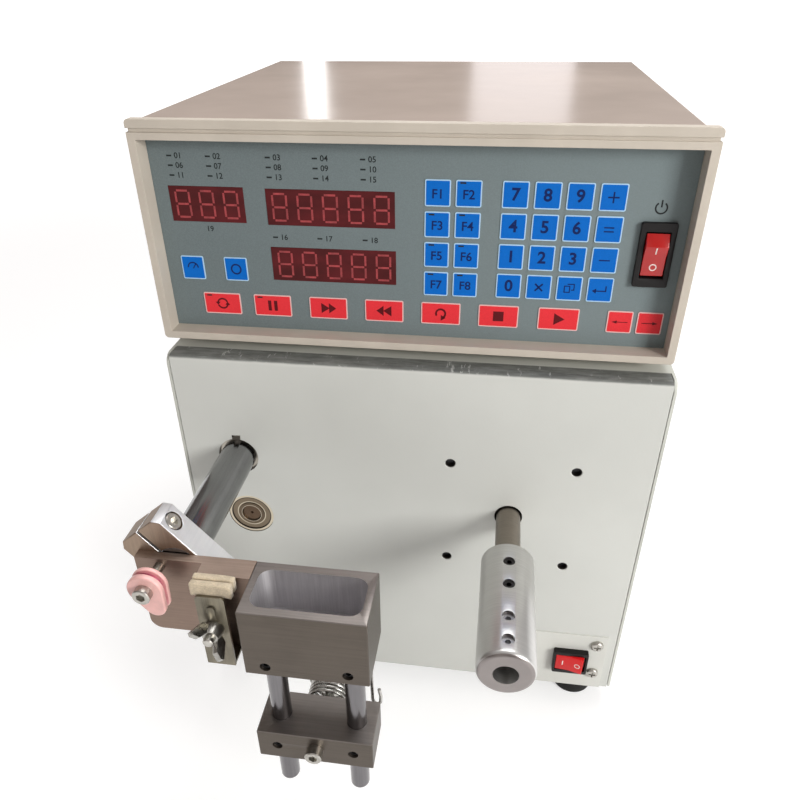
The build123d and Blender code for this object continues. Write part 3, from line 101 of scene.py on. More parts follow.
# ------------------------------------------------------------------ shader maths
def add_node(tree: NodeTree, kind: str, settings: Settings = None,
             inputs: Inputs = None) -> Node:
    """Add a node to a tree.

    Args:
        tree: Material, world or geometry tree.
        kind: Blender's type name.
        settings: Properties, which are set first.
        inputs: Values, sockets or signals by socket name or number.

    Returns:
        The new node.
    """
    made = tree.nodes.new(kind)
    for key, value in (settings or {}).items():
        setattr(made, key, value)
    for key, value in (inputs or {}).items():
        socket = made.inputs[key]
        if isinstance(value, Signal):
            tree.links.new(value.socket, socket)
        elif isinstance(value, NodeSocket):
            tree.links.new(value, socket)
        elif isinstance(value, tuple) and len(value) == 3 and socket.type == "RGBA":
            socket.default_value = (*value, 1.0)
        else:
            socket.default_value = value
    return made


def _maths(operation: str, swap: bool = False) -> Callable[..., "Signal"]:
    """Make a method of Signal that adds one Math node.

    Args:
        operation: Blender's name of the operation.
        swap: Whether the other value comes first.

    Returns:
        The method.
    """
    def method(self: "Signal", other: Any = 0.0) -> "Signal":
        """Result of the operation on this signal and the other value."""
        first, second = (other, self) if swap else (self, other)
        return self.recipe.signal("ShaderNodeMath", {"operation": operation},
                                  {0: first, 1: second})

    return method


class Signal:
    """A shader value that Python operators work on by adding Math nodes."""

    def __init__(self, recipe: "Recipe", socket: NodeSocket) -> None:
        """Keep the socket and the recipe whose nodes it belongs to."""
        self.recipe = recipe
        self.socket = socket

    __add__ = __radd__ = _maths("ADD")
    __sub__ = _maths("SUBTRACT")
    __rsub__ = _maths("SUBTRACT", swap=True)
    __mul__ = __rmul__ = _maths("MULTIPLY")
    __truediv__ = _maths("DIVIDE")
    __rtruediv__ = _maths("DIVIDE", swap=True)
    __gt__ = _maths("GREATER_THAN")
    __lt__ = _maths("LESS_THAN")
    size = _maths("ABSOLUTE")
    root = _maths("SQRT")

    def ease(self, low: float, high: float) -> "Signal":
        """Smooth step from 0 at low to 1 at high."""
        return self.recipe.signal(
            "ShaderNodeMapRange", {"interpolation_type": "SMOOTHSTEP"},
            {"Value": self, "From Min": low, "From Max": high})


class Recipe:
    """Node tree of one material, with short ways to add its nodes."""

    def __init__(self, name: str) -> None:
        """Start an empty material."""
        self.material = bpy.data.materials.new(name)
        self.material.use_nodes = True
        self.tree = self.material.node_tree
        self.tree.nodes.clear()
        self.output = self.tree.nodes.new("ShaderNodeOutputMaterial")

    def signal(self, kind: str, settings: Settings = None, inputs: Inputs = None,
               output: Union[str, int] = 0) -> Signal:
        """Add a node and return one of its outputs."""
        return Signal(self, add_node(self.tree, kind, settings, inputs).outputs[output])

    def place(self) -> Signal:
        """Object coordinates, which are the machine's own metres."""
        return self.signal("ShaderNodeTexCoord", output="Object")

    def along(self, axis: str) -> Signal:
        """One object coordinate, in metres."""
        return self.signal("ShaderNodeSeparateXYZ", None, {0: self.place()}, axis)

    def grain(self, scale: Union[float, Colour], detail: float = 3.0,
              rough: float = 0.55) -> Signal:
        """Noise from 0 to 1 whose cells are 1 / scale metres, on all axes or each one."""
        each = scale if isinstance(scale, tuple) else (scale,) * 3
        place = self.signal("ShaderNodeMapping", None, {"Vector": self.place(), "Scale": each})
        return self.signal("ShaderNodeTexNoise", None,
                           {"Vector": place, "Scale": 1.0, "Detail": detail,
                            "Roughness": rough})

    def specks(self, scale: float) -> Signal:
        """1 at the middle of scattered specks, 1 / scale metres apart, else 0."""
        return self.signal("ShaderNodeTexVoronoi", None,
                           {"Vector": self.place(), "Scale": scale}).ease(0.10, 0.02)

    def between(self, share: Any, low: Any, high: Any) -> Signal:
        """Colour between low and high."""
        return self.signal("ShaderNodeMix", {"data_type": "RGBA"},
                           {0: share, 6: low, 7: high}, 2)

    def blend(self, share: Any, colour: Colour, dark: float, light: float = 1.0) -> Signal:
        """Colour that wanders between two shades of itself."""
        return self.between(share, shade(colour, dark), shade(colour, light))

    def relief(self, height: Signal, depth: float) -> Signal:
        """Bumped normal for a height field whose full range is depth metres."""
        return self.signal("ShaderNodeBump", None, {"Height": height, "Distance": depth})

    def surface(self, **sockets: Any) -> Material:
        """Finish with a Principled shader; underscores in names stand for blanks."""
        shader = add_node(self.tree, "ShaderNodeBsdfPrincipled", None,
                          {key.replace("_", " "): value for key, value in sockets.items()})
        self.tree.links.new(shader.outputs[0], self.output.inputs["Surface"])
        return self.material


# ------------------------------------------------------------------ finishes
@dataclass(frozen=True)
class Finish:
    """A surface finish, by its name and main colour."""

    name: str
    colour: Colour

    def mix(self, recipe: Recipe) -> Material:
        """Fill in the material's nodes."""
        raise NotImplementedError


@dataclass(frozen=True)
class PowderPaint(Finish):
    """Powder paint with orange peel, faint mottling and specks.

    Attributes:
        rough: Base roughness.
        peel: Depth of the orange peel in metres.
        mottle: How much the brightness wanders, from 0 to 1.
    """

    rough: float = 0.42
    peel: float = 0.04 * MM
    mottle: float = 0.06

    def bumps(self, recipe: Recipe) -> Signal:
        """Orange peel."""
        return recipe.relief(recipe.grain(850.0, 2.0), self.peel)

    def mix(self, recipe: Recipe) -> Material:
        """Mottled colour over a fine bumpy coat."""
        cloud = recipe.grain(9.0, 4.0)
        body = recipe.blend(cloud.ease(0.2, 0.8), self.colour, 1 - 3 * self.mottle,
                            1 + self.mottle)
        worn = recipe.between(recipe.specks(900.0) * 0.25, body, shade(self.colour, 0.5))
        return recipe.surface(Base_Color=worn, Roughness=self.rough + cloud * 0.1 - 0.05,
                              Normal=self.bumps(recipe))


@dataclass(frozen=True)
class FrontPaint(PowderPaint):
    """Front plate paint, whose top edge turns dark grey: painted shade under the controller,
    with real scratches.

    Attributes:
        top: Height of the plate's top face.
        scuff_and_shade: Colour of the top edge, partly real scuffing and partly painted shade
            under the controller.
        bare: Colour of the scratches there.
    """

    top: float = 0.0
    # dark grey of the top edge: real scuffing darkened by painted shade under the controller
    scuff_and_shade: Colour = tone(100, 102, 99)
    bare: Colour = tone(190, 192, 188)

    def mix(self, recipe: Recipe) -> Material:
        """Painted face whose top edge turns grey: painted shade under the controller, streaked
        like scuffs, with bare scratches.
        """
        cloud = recipe.grain(7.0, 4.0)
        streak = recipe.grain((60.0, 260.0, 260.0), 5.0, 0.7)
        scratches = recipe.grain((300.0, 60.0, 300.0), 6.0, 0.75).ease(0.60, 0.66)
        paint = recipe.blend(cloud.ease(0.2, 0.8), self.colour, 1 - 2 * self.mottle)
        # painted shade of the top edge under the controller, streaked like scuffs
        scuff_and_shade_grey = recipe.blend(streak.ease(0.35, 0.75), self.scuff_and_shade, 1.0, 2.0)
        metal = recipe.between(scratches * 0.8, scuff_and_shade_grey, self.bare)
        edge = recipe.along("Z") + (streak - 0.5) * (1.2 * MM)
        mask = edge.ease(self.top - 1.6 * MM, self.top - 0.6 * MM)
        return recipe.surface(Base_Color=recipe.between(mask, paint, metal),
                              Roughness=self.rough + mask * 0.15 + cloud * 0.06,
                              Normal=self.bumps(recipe))


class Run(Enum):
    """Way in which tool marks run over a metal face, as cells per metre on each axis."""

    ACROSS = (30.0, 900.0, 900.0)
    DEEP = (900.0, 30.0, 900.0)
    UP = (900.0, 900.0, 30.0)
    RINGS = (25.0, 2600.0, 25.0)
    CAST = (500.0, 500.0, 500.0)


@dataclass(frozen=True)
class ToolMarks(Finish):
    """Machined, turned or ground metal with tool marks and faint stains.

    Attributes:
        run: Way the marks run.
        rough: Base roughness.
        depth: Depth of the marks in metres.
        stain: How much darker the stains are, from 0 to 1.
    """

    run: Run = Run.ACROSS
    rough: float = 0.3
    depth: float = 0.006 * MM
    stain: float = 0.25

    def mix(self, recipe: Recipe) -> Material:
        """Streaked metal with wandering stains and a few light scratches."""
        marks = recipe.grain(self.run.value, 4.0, 0.65)
        cloud = recipe.grain(45.0, 4.0, 0.6)
        scratch = recipe.grain((160.0, 700.0, 420.0), 3.0, 0.8).ease(0.66, 0.72)
        body = recipe.blend(cloud.ease(0.3, 0.7), self.colour, 1 - self.stain)
        fine = recipe.between(marks.ease(0.3, 0.8) * 0.35, body, shade(self.colour, 1.5))
        lit = recipe.between(scratch * 0.16, fine, shade(self.colour, 1.9))
        return recipe.surface(Base_Color=lit, Metallic=1.0,
                              Roughness=self.rough + (marks - 0.5) * 0.18 + cloud * 0.06,
                              Normal=recipe.relief(marks, self.depth))


@dataclass(frozen=True)
class TwoTone(Finish):
    """Screws of one node, with the main colour before a plane across Y.

    Attributes:
        dull: Colour behind the plane.
        border: Y of the plane.
    """

    dull: Colour
    border: float

    def mix(self, recipe: Recipe) -> Material:
        """Oiled steel behind, bright steel in front, both slightly worn."""
        worn = recipe.grain(700.0)
        colour = recipe.between(recipe.along("Y") > self.border, self.colour, self.dull)
        return recipe.surface(Base_Color=recipe.between(worn * 0.5, colour, (0.02,) * 3),
                              Metallic=1.0, Roughness=0.3 + worn * 0.12,
                              Normal=recipe.relief(worn, 0.01 * MM))


@dataclass(frozen=True)
class TurnedRings(Finish):
    """Ball bearing's front face: turned rings and a dark shield round the main colour, a dark
    brown that is painted shade in the bore.

    Attributes:
        x: Axis in X.
        z: Axis in Z.
        rings: Inner radius and colour of each ring, from the middle outwards; the near-black
            one is painted shade in a groove.
    """

    x: float
    z: float
    rings: tuple[tuple[float, Colour], ...]

    def mix(self, recipe: Recipe) -> Material:
        """Ring colours with soft borders over fine turning marks."""
        across = recipe.along("X") - self.x
        rise = recipe.along("Z") - self.z
        radius = (across * across + rise * rise).root()
        body: Any = self.colour
        for border, colour in self.rings:
            share = radius.ease(border - 0.1 * MM, border + 0.1 * MM)
            body = recipe.between(share, body, colour)
        turned = recipe.grain((60.0, 2600.0, 60.0))
        return recipe.surface(Base_Color=body, Metallic=1.0, Roughness=0.3 + turned * 0.1,
                              Normal=recipe.relief(turned, 0.003 * MM))


@dataclass(frozen=True)
class Moulded(Finish):
    """Moulded plastic or rubber with a fine grain.

    Attributes:
        rough: Base roughness.
        depth: Depth of the grain in metres.
        cells: Grain cells per metre.
        coat: Clear coat weight.
        dust: How much lighter dust is, from 0 to 1.
        shine: Specular level.
    """

    rough: float = 0.5
    depth: float = 0.02 * MM
    cells: float = 1200.0
    coat: float = 0.0
    dust: float = 0.1
    shine: float = 0.5

    def mix(self, recipe: Recipe) -> Material:
        """Grained body with patches of dust."""
        cloud = recipe.grain(35.0, 4.0, 0.6)
        dusty = tuple(min(1.0, value + self.dust * 0.3) for value in self.colour)
        body = recipe.between(cloud.ease(0.35, 0.8), shade(self.colour, 0.92), dusty)
        return recipe.surface(Base_Color=body, Roughness=self.rough + (cloud - 0.5) * 0.12,
                              Coat_Weight=self.coat, Coat_Roughness=0.12,
                              Specular_IOR_Level=self.shine,
                              Normal=recipe.relief(recipe.grain(self.cells, 2.0), self.depth))


@dataclass(frozen=True)
class PrintedFilm(Finish):
    """Screen-printed polyester film with a faint sparkle in the ink.

    Attributes:
        rough: Base roughness.
        wander: How much darker its dark patches and its painted shade are, from 0 to 1.
        left_painted_shade: How much of that darkening is painted shade towards the machine's
            left end, from 0 to 1.
    """

    rough: float = 0.38
    wander: float = 0.12
    left_painted_shade: float = 0.0

    def mix(self, recipe: Recipe) -> Material:
        """Ink that wanders slightly in tone over a very fine texture, with painted shade
        towards the left end.
        """
        cloud = recipe.grain(12.0)
        fine = recipe.grain(2200.0, 2.0)
        # painted shade: 0 at the machine's left end, 1 towards its right, where the key light
        # stands
        side = recipe.along("X").ease(-0.13, 0.13)
        share = side * self.left_painted_shade + cloud.ease(0.25, 0.75) * (1 - self.left_painted_shade)
        body = recipe.blend(share, self.colour, 1 - self.wander)
        ink = recipe.between(fine.ease(0.35, 0.7) * 0.25, body, shade(self.colour, 1.25))
        return recipe.surface(Base_Color=ink, Roughness=self.rough + (cloud - 0.5) * 0.08,
                              Specular_IOR_Level=CLEAR_SPECULAR,
                              Normal=recipe.relief(fine, 0.006 * MM))


@dataclass(frozen=True)
class FilterGlass(Finish):
    """Dark filter window: deep colour under a gloss coat.

    Attributes:
        glow: Colour of the patches where the display shines back.
    """

    glow: Colour

    def mix(self, recipe: Recipe) -> Material:
        """Deep tint with uneven brightness and a smooth coat."""
        cloud = recipe.grain((40.0, 40.0, 90.0))
        body = recipe.between(cloud.ease(0.3, 0.75), self.colour, self.glow)
        return recipe.surface(Base_Color=body, Roughness=0.45 + cloud * 0.06, Coat_Weight=0.05,
                              Coat_Roughness=0.18, Specular_IOR_Level=0.15)


@dataclass(frozen=True)
class Felt(Finish):
    """Pressed wool felt."""

    def mix(self, recipe: Recipe) -> Material:
        """Tangled fibres with darker pockets and a soft sheen."""
        lumps = recipe.grain(240.0, 4.0, 0.7)
        tangle = recipe.grain((900.0, 2600.0, 1400.0), 6.0, 0.8) * 0.6 + lumps * 0.4
        body = recipe.blend(tangle.ease(0.3, 0.7), self.colour, 0.55)
        return recipe.surface(Base_Color=body, Roughness=0.85 + lumps * 0.15,
                              Normal=recipe.relief(tangle, 0.5 * MM), Sheen_Weight=0.4,
                              Sheen_Roughness=0.5)


@dataclass(frozen=True)
class GlazedShoe(Finish):
    """Glazed shoe, whose groove is a darker pink.

    Attributes:
        groove: Colour in the groove.
        back: Y of the groove's rear wall.
        front: Y of the groove's front wall.
    """

    groove: Colour
    back: float
    front: float

    def mix(self, recipe: Recipe) -> Material:
        """Glaze with soft clouds, and a darker groove by its place along Y."""
        cloud = recipe.grain(160.0)
        half = abs(self.back - self.front) / 2
        off = (recipe.along("Y") - (self.back + self.front) / 2).size()
        mask = off.ease(half + 0.1 * MM, half - 0.1 * MM)
        share = cloud.ease(0.3, 0.7)
        pale = recipe.blend(share, self.colour, 0.85)
        stain = recipe.blend(share, self.groove, 0.7)
        return recipe.surface(Base_Color=recipe.between(mask, pale, stain), Roughness=0.34,
                              Normal=recipe.relief(cloud, 0.03 * MM), Coat_Weight=0.25,
                              Coat_Roughness=0.2)


@dataclass(frozen=True)
class Glow(Finish):
    """Display segment that is dimly lit."""

    def mix(self, recipe: Recipe) -> Material:
        """Pale segments with uneven brightness."""
        share = recipe.grain(260.0, 3.0, 0.7).ease(0.3, 0.7)
        return recipe.surface(Base_Color=recipe.blend(share, self.colour, 0.55),
                              Roughness=0.4)


# Display colour of each finish, then its other values in their order.
TABLE: dict[type[Finish], dict[str, tuple]] = {
    PowderPaint: {
        "body_paint": ((206, 208, 200),),
        "plate_paint": ((214, 215, 209),),
        "cover_paint": ((184, 170, 160), 0.2, 0.02 * MM, 0.05),
        "motor_black": ((38, 38, 38), 0.4)},
    ToolMarks: {
        "bar_steel": ((150, 150, 150), Run.DEEP),
        "screw_steel": ((184, 181, 174), Run.CAST, 0.28, 0.01 * MM),
        "dull_screw": ((70, 70, 72), Run.CAST, 0.4, 0.01 * MM),
        "shaft_steel": ((140, 141, 142), Run.DEEP, 0.17, 0.002 * MM, 0.15),
        # dark brown lead screw end: painted shade where it sits back in the bearing's bore
        "screw_end": ((92, 76, 62), Run.RINGS, 0.35, 0.004 * MM, 0.2),
        "warm_shaft": ((140, 132, 122), Run.RINGS, 0.3, 0.004 * MM, 0.2),
        "bearing_steel": ((165, 160, 150), Run.RINGS, 0.25),
        "spring_steel": ((190, 188, 184), Run.CAST, 0.25),
        "dark_steel": ((132, 126, 112), Run.UP, 0.32, 0.01 * MM, 0.45),
        "motor_steel": ((110, 110, 112), Run.RINGS, 0.5),
        "zinc_plated": ((176, 174, 168), Run.CAST, 0.26, 0.02 * MM, 0.35),
        "rod_chrome": ((116, 114, 116), Run.UP, 0.16, 0.002 * MM, 0.1),
        "bare_aluminium": ((150, 141, 134), Run.ACROSS, 0.36, 0.006 * MM, 0.18),
        # the block and plate tops are paler copies of their fronts, painted as lit from above;
        # the plate's brown front is a painted reflection
        "block_face": ((93, 86, 79), Run.ACROSS, 0.38, 0.008 * MM, 0.12),
        "plate_brown": ((129, 111, 100), Run.ACROSS, 0.36, 0.008 * MM, 0.15),
        "block_top": ((136, 130, 126), Run.ACROSS, 0.42, 0.008 * MM, 0.12),
        "plate_top": ((172, 153, 140), Run.ACROSS, 0.42, 0.008 * MM, 0.12),
        "pocket_metal": ((196, 194, 196), Run.UP, 0.55, 0.01 * MM, 0.12),
        # darker copy of the sleeve metal for the nose's front faces: painted dark reflection
        "nose_metal": ((140, 134, 132), Run.RINGS, 0.3, 0.001 * MM, 0.06),
        "sleeve_metal": ((200, 199, 197), Run.RINGS, 0.3, 0.0008 * MM, 0.05),
        # painted shade on the walls of the front plate's holes
        "hole_metal": ((96, 92, 88), Run.RINGS, 0.4, 0.01 * MM, 0.3),
        # painted reflections on the arm: brown on its left and front faces, near white on the
        # others
        "arm_brown": ((150, 132, 116), Run.UP, 0.42, 0.008 * MM, 0.2),
        "arm_metal": ((240, 241, 244), Run.DEEP, 0.42, 0.006 * MM, 0.12),
        "motor_aluminium": ((170, 170, 170), Run.CAST, 0.5),
        "bronze": ((180, 140, 80), Run.RINGS, 0.4)},
    Moulded: {
        "foot_rubber": ((22, 22, 21), 0.7, 0.06 * MM, 700.0, 0.0, 0.03, 0.3),
        "switch_black": ((18, 15, 15), 0.45, 0.02 * MM, 1500.0, 0.0, 0.01, 0.25),
        "rocker_clear": ((184, 16, 14), 0.2, 0.005 * MM, 900.0, 0.35, 0.01, 0.4),
        "rocker_red": ((222, 24, 28), 0.3, 0.005 * MM, 900.0, 0.1, 0.01, 0.3),
        "bezel_plastic": ((200, 191, 178), 0.5, 0.03 * MM, 900.0, 0.0, 0.06),
        "board_green": ((20, 90, 50), 0.4)},
    PrintedFilm: {
        # its last value darkens the film towards the machine's left end: painted shade
        "panel_film": ((121, 133, 135), 0.5, 0.28, 0.8),
        "key_blue": ((0, 104, 198), 0.5),
        "key_red": ((230, 54, 62), 0.5),
        "rim_blue": ((176, 210, 236), 0.38, 0.05),
        "rim_red": ((232, 190, 188), 0.38, 0.05),
        "ink_blue": ((8, 34, 92), 0.38, 0.2),
        "ink_red": ((92, 12, 20), 0.38, 0.2),
        "ink_black": ((38, 42, 42), 0.38, 0.2),
        "ink_white": ((236, 226, 222), 0.38, 0.05)},
    FilterGlass: {"window_red": ((70, 18, 20), tone(92, 26, 30))},
    Glow: {"segment_dim": ((172, 60, 64),)},
    Felt: {"felt": ((222, 205, 176),)},
}
FINISHES: dict[str, Finish] = {
    name: kind(name, tone(*colour), *rest)
    for kind, rows in TABLE.items() for name, (colour, *rest) in rows.items()}
Coat = Union[str, Finish]
_made: dict[str, Material] = {}


def material(coat: Coat) -> Material:
    """Material of a finish or of its name, which is made once and shared."""
    chosen = FINISHES[coat] if isinstance(coat, str) else coat
    if chosen.name not in _made:
        _made[chosen.name] = chosen.mix(Recipe(chosen.name))
    return _made[chosen.name]


# ------------------------------------------------------------------ mesh helpers
def body_of(node: str) -> str:
    """Body that carries a node."""
    for name, members in frame["record"]["behaviour"]["bodies"].items():
        if node in members:
            return name
    raise KeyError(node)


def placed(name: str, data: Optional[ID]) -> Object:
    """Make an object of some data and link it to the scene."""
    made = bpy.data.objects.new(name, data)
    bpy.context.scene.collection.objects.link(made)
    return made


def baked(holder: Object) -> Mesh:
    """Evaluated mesh of an object, which is then removed."""
    graph = bpy.context.evaluated_depsgraph_get()
    data = bpy.data.meshes.new_from_object(holder.evaluated_get(graph))
    bpy.data.objects.remove(holder)
    return data


def object_from(name: str, mesh: BMesh, coat: Coat, crease: float = CREASE,
                flat_over: float = FLAT_OVER) -> Object:
    """Make an object from a bmesh.

    Args:
        name: Piece name.
        mesh: Geometry, which is freed.
        coat: Finish.
        crease: Edges sharper than this many degrees stay sharp.
        flat_over: Faces larger than this many square metres are shaded flat.

    Returns:
        The linked object.
    """
    data = bpy.data.meshes.new(name)
    mesh.to_mesh(data)
    mesh.free()
    data.set_sharp_from_angle(angle=math.radians(crease))
    for face in data.polygons:
        face.use_smooth = face.area < flat_over
    data.materials.append(material(coat))
    return placed(name, data)


def add_loft(mesh: BMesh, rings: Sequence[Sequence[Vector]]) -> None:
    """Add a closed skin through rings of as many points each."""
    loops = [[mesh.verts.new(point) for point in ring] for ring in rings]
    faces = [mesh.faces.new(loops[0]), mesh.faces.new(loops[-1][::-1])]
    for near, far in zip(loops, loops[1:]):
        for index in range(len(near)):
            after = (index + 1) % len(near)
            faces.append(mesh.faces.new((near[after], near[index], far[index], far[after])))
    bmesh.ops.recalc_face_normals(mesh, faces=faces)


def add_wire(mesh: BMesh, bends: Sequence[Vector], radius: float,
             sides: int = 12) -> None:
    """Add a closed round wire along a bent line.

    Args:
        mesh: Target.
        bends: Points of the line.
        radius: Wire radius.
        sides: Facets round the wire.
    """
    circle = [Vector((math.cos(math.tau * side / sides), math.sin(math.tau * side / sides),
                      0.0)) * radius for side in range(sides)]
    rings = []
    for index, spot in enumerate(bends):
        ahead = bends[min(index + 1, len(bends) - 1)] - bends[max(index - 1, 0)]
        turn = ahead.normalized().rotation_difference(UP).inverted()
        rings.append([spot + turn @ point for point in circle])
    add_loft(mesh, rings)


def round_off(mesh: BMesh, width: float, angle: float, steps: int) -> None:
    """Round every edge sharper than an angle in degrees."""
    sharp = [edge for edge in mesh.edges
             if len(edge.link_faces) == 2 and edge.calc_face_angle() > math.radians(angle)]
    bmesh.ops.bevel(mesh, geom=sharp, offset=width, segments=steps, profile=0.5,
                    affect="EDGES", clamp_overlap=True)


def rides(piece: Object, node: str, replace: bool) -> Object:
    """Let a piece ride with a node's body and perhaps stand for it."""
    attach(piece, body_of(node))
    if replace:
        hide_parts(node)
    log.info("piece %s on %s", piece.name, body_of(node))
    return piece


def refined(node: str, coat: Coat, edge: float, sharp: float = 40.0, steps: int = 2,
            flat_over: float = FLAT_OVER) -> Object:
    """Stand a welded copy of a node, with flat faces joined and edges rounded, in its place.

    Args:
        node: CAD node.
        coat: Finish.
        edge: Edge radius in metres.
        sharp: Edges sharper than this many degrees are rounded.
        steps: Facets across each rounded edge.
        flat_over: Faces larger than this many square metres are shaded flat.

    Returns:
        The new piece.
    """
    mesh = bmesh.new()
    mesh.from_mesh(frame["nodes"][node].data)
    bmesh.ops.remove_doubles(mesh, verts=mesh.verts, dist=WELD)
    bmesh.ops.dissolve_limit(mesh, angle_limit=math.radians(JOIN_ANGLE), verts=mesh.verts,
                             edges=mesh.edges)
    round_off(mesh, edge, sharp, steps)
    piece = object_from(node + "_edged", mesh, coat, flat_over=flat_over)
    return rides(piece, node, True)


def recoat(piece: Object, coat: Coat, facing: Vector = Vector(),
           low: Vector = -REACH, high: Vector = REACH) -> None:
    """Give faces another finish.

    Args:
        piece: Object.
        coat: Finish.
        facing: Way that they face, or zero for any way.
        low: Corner of the box in which the faces' middles lie.
        high: The opposite corner.
    """
    piece.data.materials.append(material(coat))
    for face in piece.data.polygons:
        inside = all(a < value < b for a, value, b in zip(low, face.center, high))
        if inside and (facing.length == 0 or face.normal.dot(facing) > FACING):
            face.material_index = len(piece.data.materials) - 1


def dress(**coats: Coat) -> None:
    """Give carried-over nodes their finishes."""
    for node, coat in coats.items():
        data = frame["nodes"][node].data
        data.materials.clear()
        data.materials.append(material(coat))


def join(name: str, pieces: Sequence[Object]) -> Object:
    """Join objects into one mesh that keeps their materials."""
    mesh = bmesh.new()
    data = bpy.data.meshes.new(name)
    for piece in pieces:
        start, count = len(data.materials), len(mesh.faces)
        for slot in piece.data.materials:
            data.materials.append(slot)
        mesh.from_mesh(piece.data)
        mesh.faces.ensure_lookup_table()
        for face in mesh.faces[count:]:
            face.material_index += start
        bpy.data.objects.remove(piece)
    mesh.to_mesh(data)
    mesh.free()
    return placed(name, data)


# ------------------------------------------------------------------ geometry nodes
class Rule:
    """A Geometry Nodes tree built in code, with named inputs."""

    def __init__(self, name: str, **inputs: str) -> None:
        """Start a tree.

        Args:
            name: Tree name.
            inputs: Socket kind by input name; Geometry and Finish come by themselves.
        """
        self.tree = bpy.data.node_groups.new(name, "GeometryNodeTree")
        kinds = {"Geometry": "Geometry", **inputs, "Finish": "Material"}
        self.keys = {label: self._socket(label, "INPUT", kind).identifier
                     for label, kind in kinds.items()}
        self._socket("Geometry", "OUTPUT", "Geometry")
        self.source = self.tree.nodes.new("NodeGroupInput")
        self.sink = self.tree.nodes.new("NodeGroupOutput")

    def _socket(self, label: str, way: str, kind: str) -> bpy.types.NodeTreeInterfaceSocket:
        """Add a socket to the tree's interface."""
        return self.tree.interface.new_socket(name=label, in_out=way,
                                              socket_type="NodeSocket" + kind)

    def add(self, kind: str, settings: Settings = None,
            inputs: Inputs = None) -> NodeSocket:
        """Add a node and return its first output."""
        return add_node(self.tree, kind, settings, inputs).outputs[0]

    def named(self, label: str) -> NodeSocket:
        """One of the tree's inputs."""
        return self.source.outputs[label]

    def joined(self, parts: Iterable[NodeSocket]) -> NodeSocket:
        """Join geometries."""
        both = self.tree.nodes.new("GeometryNodeJoinGeometry")
        for part in parts:
            self.tree.links.new(part, both.inputs[0])
        return both.outputs[0]

    def spread(self, piece: NodeSocket) -> None:
        """Put the piece on each point, realize it, set its material and close the tree."""
        copies = self.add("GeometryNodeInstanceOnPoints", None,
                          {"Points": self.named("Geometry"), "Instance": piece})
        solid = self.add("GeometryNodeRealizeInstances", None, {0: copies})
        coat = self.add("GeometryNodeSetMaterial", None,
                        {"Geometry": solid, "Material": self.named("Finish")})
        self.tree.links.new(coat, self.sink.inputs[0])

    def grow(self, name: str, points: Iterable[Vector], values: dict[str, Any],
             coat: Coat) -> Object:
        """Run the tree on points and bake the result to a plain mesh.

        Args:
            name: Piece name.
            points: Places, as the vertices of the input mesh.
            values: Values of the named inputs.
            coat: Finish of the result.

        Returns:
            The baked object, with no modifier.
        """
        data = bpy.data.meshes.new(name + "_points")
        data.from_pydata([tuple(point) for point in points], [], [])
        seed = placed(name + "_seed", data)
        modifier = seed.modifiers.new("rule", "NODES")
        modifier.node_group = self.tree
        for label, value in {**values, "Finish": material(coat)}.items():
            modifier[self.keys[label]] = value
        return placed(name, baked(seed))


def tile_rule() -> Rule:
    """Rounded flat tiles that face the front, one on each point."""
    rule = Rule("front_tiles", Width="Float", Height="Float", Corner="Float", Thick="Float",
                Steps="Int")
    outline = rule.add("GeometryNodeCurvePrimitiveQuadrilateral", None,
                       {"Width": rule.named("Width"), "Height": rule.named("Height")})
    corners = rule.add("GeometryNodeFilletCurve", {"mode": "POLY"},
                       {"Curve": outline, "Radius": rule.named("Corner"),
                        "Count": rule.named("Steps")})
    filled = rule.add("GeometryNodeFillCurve", {"mode": "NGONS"}, {0: corners})
    raised = rule.add("GeometryNodeExtrudeMesh", None,
                      {"Mesh": filled, "Offset Scale": rule.named("Thick")})
    under = rule.add("GeometryNodeFlipFaces", None, {0: filled})
    closed = rule.add("GeometryNodeMergeByDistance", None,
                      {"Geometry": rule.joined((raised, under)), "Distance": MERGE})
    rule.spread(rule.add("GeometryNodeTransform", None,
                         {"Geometry": closed, "Rotation": (math.pi / 2, 0.0, 0.0)}))
    return rule


def digit_rule() -> Rule:
    """Upright seven-bar figures that face the front, one on each point."""
    rule = Rule("bar_figures", Tall="Float", Wide="Float", Bar="Float", Thick="Float")
    bar, thick, tall, wide = (rule.named(name) for name in ("Bar", "Thick", "Tall", "Wide"))

    def maths(operation: str, first: Any, second: Any) -> NodeSocket:
        """Result of one Math node."""
        return rule.add("ShaderNodeMath", {"operation": operation}, {0: first, 1: second})

    def vector(**parts: Any) -> NodeSocket:
        """Vector of its parts."""
        return rule.add("ShaderNodeCombineXYZ", None, parts)

    gap = maths("MULTIPLY", bar, 1.3)  # what the bars leave free at their ends
    half_tall, half_wide = maths("MULTIPLY", tall, 0.5), maths("MULTIPLY", wide, 0.5)
    quarter = maths("MULTIPLY", tall, 0.25)
    lying = vector(X=maths("SUBTRACT", wide, gap), Y=thick, Z=bar)
    standing = vector(X=bar, Y=thick, Z=maths("SUBTRACT", half_tall, gap))
    level = [(0.0, half_tall), (0.0, 0.0), (0.0, maths("MULTIPLY", half_tall, -1.0))]
    posts = [(side, rise) for side in (half_wide, maths("MULTIPLY", half_wide, -1.0))
             for rise in (quarter, maths("MULTIPLY", quarter, -1.0))]
    bars = []
    for size, places in ((lying, level), (standing, posts)):
        cube = rule.add("GeometryNodeMeshCube", None, {"Size": size})
        bars += [rule.add("GeometryNodeTransform", None,
                          {"Geometry": cube, "Translation": vector(X=x, Z=z)})
                 for x, z in places]
    rule.spread(rule.joined(bars))
    return rule


